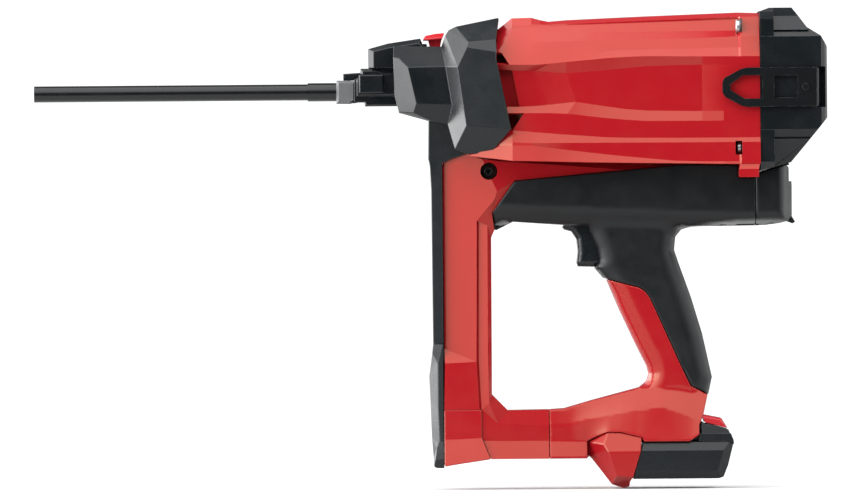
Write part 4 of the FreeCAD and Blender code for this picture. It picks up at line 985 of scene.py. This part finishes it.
# walls in front of and behind the button, which the shroud's top leaves open
button_front = slab([(312.9, 34), (312.9, 38.2), (316.2, 38.0), (316.2, 34)], -12, 12)
button_back = slab([(329.4, 34), (329.4, 39.2), (330.9, 43.6), (332.2, 45.8), (332.2, 34)], -10, 10)
piece(joined(hood, flipped(hood_tail), hood_tail, button_front, button_back), "nose_hood_skin", "housing",
      "black_plastic", ["nose_hood"])

BUTTON_TOP = [(312.8, 41.2), (314.9, 44.6), (323, 46.2), (330.2, 46.8), (329.4, 44.4), (328.4, 42.2),
              (316.8, 41.2)]
BUTTON_EDGE = [(312.8, 41.0), (313.6, 42.0), (322, 42.8), (328.8, 43.0), (328.5, 42.4), (328.3, 41.8),
               (316.8, 40.8)]
button = domed(BUTTON_TOP, 6.5, BUTTON_EDGE, 12)
stem = slab([(316.8, 42.2), (318.2, 36.8), (318.2, 29), (327.4, 29), (327, 36.8), (328.2, 42.4)], -7, 7)
piece(joined(button, stem), "release_button_skin", "hood_release", "red_button", ["release_button"])

CHEEK = [(257.5, -8.4), (257.5, 10), (264, 12), (268, 12), (268, -8.4)]
# dark infill of the moving block: its top rib, the neck to the collar, the two cheeks and the heel
piece(joined(slab([(262.8, 14), (262.8, 18.6), (299, 18.6), (299, 14)], -10, 10),
             slab([(248.7, 9.2), (248.7, 14.4), (256, 14.8), (264, 14.8), (264, 9.2)], -4.8, 4.8),
             *[slab(CHEEK, y, y + 1.6) for y in (-11, 9.4)],
             slab([(254, -9.0), (256.5, -5.6), (264.6, -5.6), (264.6, -7.6), (258, -9.0)], -9.6, 9.6)),
      "block_detail", "probe", "black_plastic")


# ---------------------------------------------------------------- screws, seams
def cross_bolt():
    """Black flanged screw through the column, with a socket in each head."""
    made = [round_bar(*CROSS_BOLT, 2.5, -12.4, 12.4, 20)]
    for way in (-1, 1):
        steps = ((6.75, 12.4), (6.75, 13.6), (6.2, 14.6), (4.6, 15.0), (4.4, 16.6), (3.4, 17.4))
        flange = across([(circle(r, 48, *CROSS_BOLT), way * y) for r, y in steps])
        made.append(cut(flange, round_bar(*CROSS_BOLT, 2.4, *sorted((way * 14.0, way * 19)), 6)))
    return joined(*made)


piece(cross_bolt(), "frame_cross_bolt_detail", "housing", "black_steel", ["frame_cross_bolt"], bevel=0.2,
      angle=35)


def cap_bolts(x0, x1, r, socket):
    """Four heads of radius r between x0 and x1, each with a six-sided hole."""
    made = []
    for y, z in [(way * y, z) for way in (-1, 1) for y, z in ((37.2, 49.4), (45.5, -47.4))]:
        steps = ((x0, r - 0.6), (x0 + 0.6, r), (x1, r))
        head = lengthwise([(circle(size, 32, y, z), x) for x, size in steps])
        hole = lengthwise([(circle(socket, 6, y, z), x) for x in (x0 - 1, x0 + 1.4)])
        made.append(cut(head, hole))
    return joined(*made)


piece(cap_bolts(563.6, 566.6, 5.6, 2.6), "rear_cap_bolts_detail", "housing", "bright_steel",
      ["rear_cap_bolts"], bevel=0.2, angle=40)
piece(cap_bolts(566.7, 568.3, 6.8, 1.5), "rear_cap_bolt_seats", "housing", "black_plastic", bevel=0.2,
      angle=40)


def ribbon(line, half_width, y):
    """Thin near-black upright web along a seam, which keeps light from passing through it; its dark colour is
    painted shade standing for the shade inside the gap.
    """
    parts = []
    for (ax, az), (bx, bz) in zip(line, line[1:]):
        length = math.hypot(bx - ax, bz - az)
        nx, nz = -(bz - az) / length * half_width, (bx - ax) / length * half_width
        ex, ez = (bx - ax) / length * 0.3, (bz - az) / length * 0.3
        corners = [(ax - ex + nx, az - ez + nz), (bx + ex + nx, bz + ez + nz), (bx + ex - nx, bz + ez - nz),
                   (ax - ex - nx, az - ez - nz)]
        parts.append(slab(corners, -y, y))
    return joined(*parts)


SEAMS = [
    [(369.6, -111.4), (367.7, -98.2), (385.7, -72.5), (418, -69.6), (475, -64.6), (520.6, -60.5)],
    [(345, -51.6), (352, -53.6), (358, -55), (364, -55.8), (394, -56.9), (451, -59.3), (519, -60.6),
     (564, -61.2)],
    [(412, -257.4), (412, -294.8)], [(329, -256.2), (358, -256.2), (358.1, -278.4), (364.8, -294.8)],
    [(460.2, -152.6), (485.1, -158.8), (489.8, -161.8), (493.9, -167.5), (502.5, -186.8), (519.8, -225.2),
     (526, -238.2), (536.6, -243.4), (539.2, -244.9)],
    [(327.9, -59), (327.9, -300)], [(442.8, -282.2), (442.8, -294.6)],
    [(444, -281.6), (458.7, -275), (469, -275), (486, -279.3), (486.6, -283)],
    [(582, -67.6), (593, -64.4), (606, -60.6)],
    [(487, -283), (532, -283)], [(533.2, -262.5), (533.6, -269.5)],
]
# seam webs in the near-black rubber finish: painted shade in the gaps between parts, where there is only
# shade
piece(joined(*[ribbon(line, 0.9, 10.5) for line in SEAMS]), "seam_webs", "housing", "seal_rubber", bevel=0)

SCREWS = [  # x, z, how far out the head sits
    (410, 49.5, 26.5), (538, 50.5, 26.0), (410, -50.0, 45.5), (520, -50.5, 43.0), (347, -84, 17.4),
    (347, -165, 17.4), (347, -240, 19.0), (396, -276, 15.0), (541, -66, 25.0), (504, -121, 16.6),
    (530, -221, 14.6), (428, -275, 15.0), (478, -256, 22.0),
]


def housing_screws():
    """Screws of the clamshells, with socket heads on the right side."""
    made = []
    for x, z, half in SCREWS:
        head = cut(round_bar(x, z, 3.6, half - 2.6, half, 24), round_bar(x, z, 1.7, half - 1.4, half + 1, 6))
        made += [head, round_bar(x, z, 1.9, 4 - half, half - 2.6, 16)]
    return joined(*made)


piece(housing_screws(), "housing_screws_detail", "housing", "bright_steel", ["housing_screws"], bevel=0.25,
      angle=40)


# ---------------------------------------------------------------- CAD parts that stay
def soften(node_name, width):
    """Rounded edges on a CAD part, by modifiers only."""
    made = frame["nodes"][node_name]
    weld = made.modifiers.new("weld", "WELD")
    weld.merge_threshold = 0.00001
    mod = made.modifiers.new("edges", "BEVEL")
    mod.width, mod.segments, mod.limit_method = width * MM, 2, "ANGLE"
    mod.angle_limit, mod.harden_normals = math.radians(20), True


for made in frame["nodes"].values():
    if made.hide_render:
        continue
    made.data.materials.clear()
    finish = "collar_steel" if made.name == "tube_collar" else SLOT_OF[made.name]
    made.data.materials.append(FINISH[finish])
for name, width in (("belt_hook", 0.5), ("carrier_block", 0.5), ("lock_button", 0.4), ("tube_collar", 0.5)):
    soften(name, width)


# ---------------------------------------------------------------- floor, light, camera
FLOOR_R = 0.95
FLOOR_SIDES = 96
FLOOR_MIDDLE = 0.32
FLOOR_GAP = 0.0005  # between the floor and the lowest point of the tool
floor_z = cad_box[0].z - FLOOR_GAP
floor_mesh = bpy.data.meshes.new("floor")
floor_mesh.from_pydata([(x, y, floor_z) for x, y in circle(FLOOR_R, FLOOR_SIDES, FLOOR_MIDDLE)],
                       [], [list(range(FLOOR_SIDES))])
floor = bpy.data.objects.new("floor", floor_mesh)
bpy.context.scene.collection.objects.link(floor)
floor_finish = surface("floor_white", (0.48, 0.48, 0.48), 0.8, grain=(300.0, 0.02), tone=0.01, specular=0.1)
floor_mesh.materials.append(floor_finish)

world = bpy.data.worlds.new("tent")
bpy.context.scene.world = world
world.use_nodes = True
t = Tree(world.node_tree)
way = t.add("SeparateXYZ", Vector=t.add("TexCoord").outputs["Generated"])


def ramp(value, start, end, gain):
    made = t.add("MapRange", {"interpolation_type": "SMOOTHSTEP"}, Value=value, From_Min=start, From_Max=end,
                 To_Min=0.0, To_Max=gain)
    return made.outputs[0]


x_way, y_way, z_way = (way.outputs[k] for k in range(3))
overhead = t.maths("MULTIPLY", ramp(z_way, 0.25, 0.6, 4.2), ramp(y_way, 0.38, 0.05, 1.0))
level = t.maths("ADD", overhead, 0.04)
above_floor = ramp(z_way, -0.5, 0.0, 1.0)
near_level = t.maths("MULTIPLY", ramp(z_way, 0.55, 0.25, 1.0), ramp(z_way, -0.85, -0.4, 1.0))
for band, lit, start, end, gain in ((above_floor, x_way, -0.16, -0.52, 3.2),
                                    (above_floor, x_way, 0.3, 0.8, 0.7), (above_floor, y_way, 0.1, 0.8, 0.3),
                                    (near_level, x_way, -0.55, -0.85, 8.0),
                                    (near_level, x_way, 0.6, 0.9, 1.9)):
    level = t.maths("ADD", level, t.maths("MULTIPLY", band, ramp(lit, start, end, gain)))
tent = t.add("Background", Strength=level)
white = t.add("Background", Color=(1.0, 1.0, 1.0, 1.0), Strength=1.15)
seen = t.add("LightPath").outputs["Is Camera Ray"]
both = t.add("MixShader", i0=seen, i1=tent.outputs[0], i2=white.outputs[0])
out = t.add("OutputWorld")
t.tree.links.new(both.outputs[0], out.inputs[0])

camera_data = bpy.data.cameras.new("camera")
camera = bpy.data.objects.new("camera", camera_data)
bpy.context.scene.collection.objects.link(camera)
bpy.context.scene.camera = camera
CAMERA_FAR = 8.0
TOOL_NEAR = 0.045  # how far the tool's left side stands out towards the camera
VIEW_WIDTH = 0.692  # width of the view at the tool, in metres
AIM = (0.31942, -0.12716)  # x and z that the camera looks at
ROLL = math.radians(0.45)
camera_data.sensor_width = 36.0
camera_data.lens = camera_data.sensor_width * (CAMERA_FAR - TOOL_NEAR) / VIEW_WIDTH
camera.location = (AIM[0], -CAMERA_FAR, AIM[1])
camera.rotation_euler = (math.radians(90), ROLL, 0)
camera_data.clip_end = 60.0

bpy.context.scene.view_settings.view_transform = "Standard"
bpy.context.scene.view_settings.look = "None"
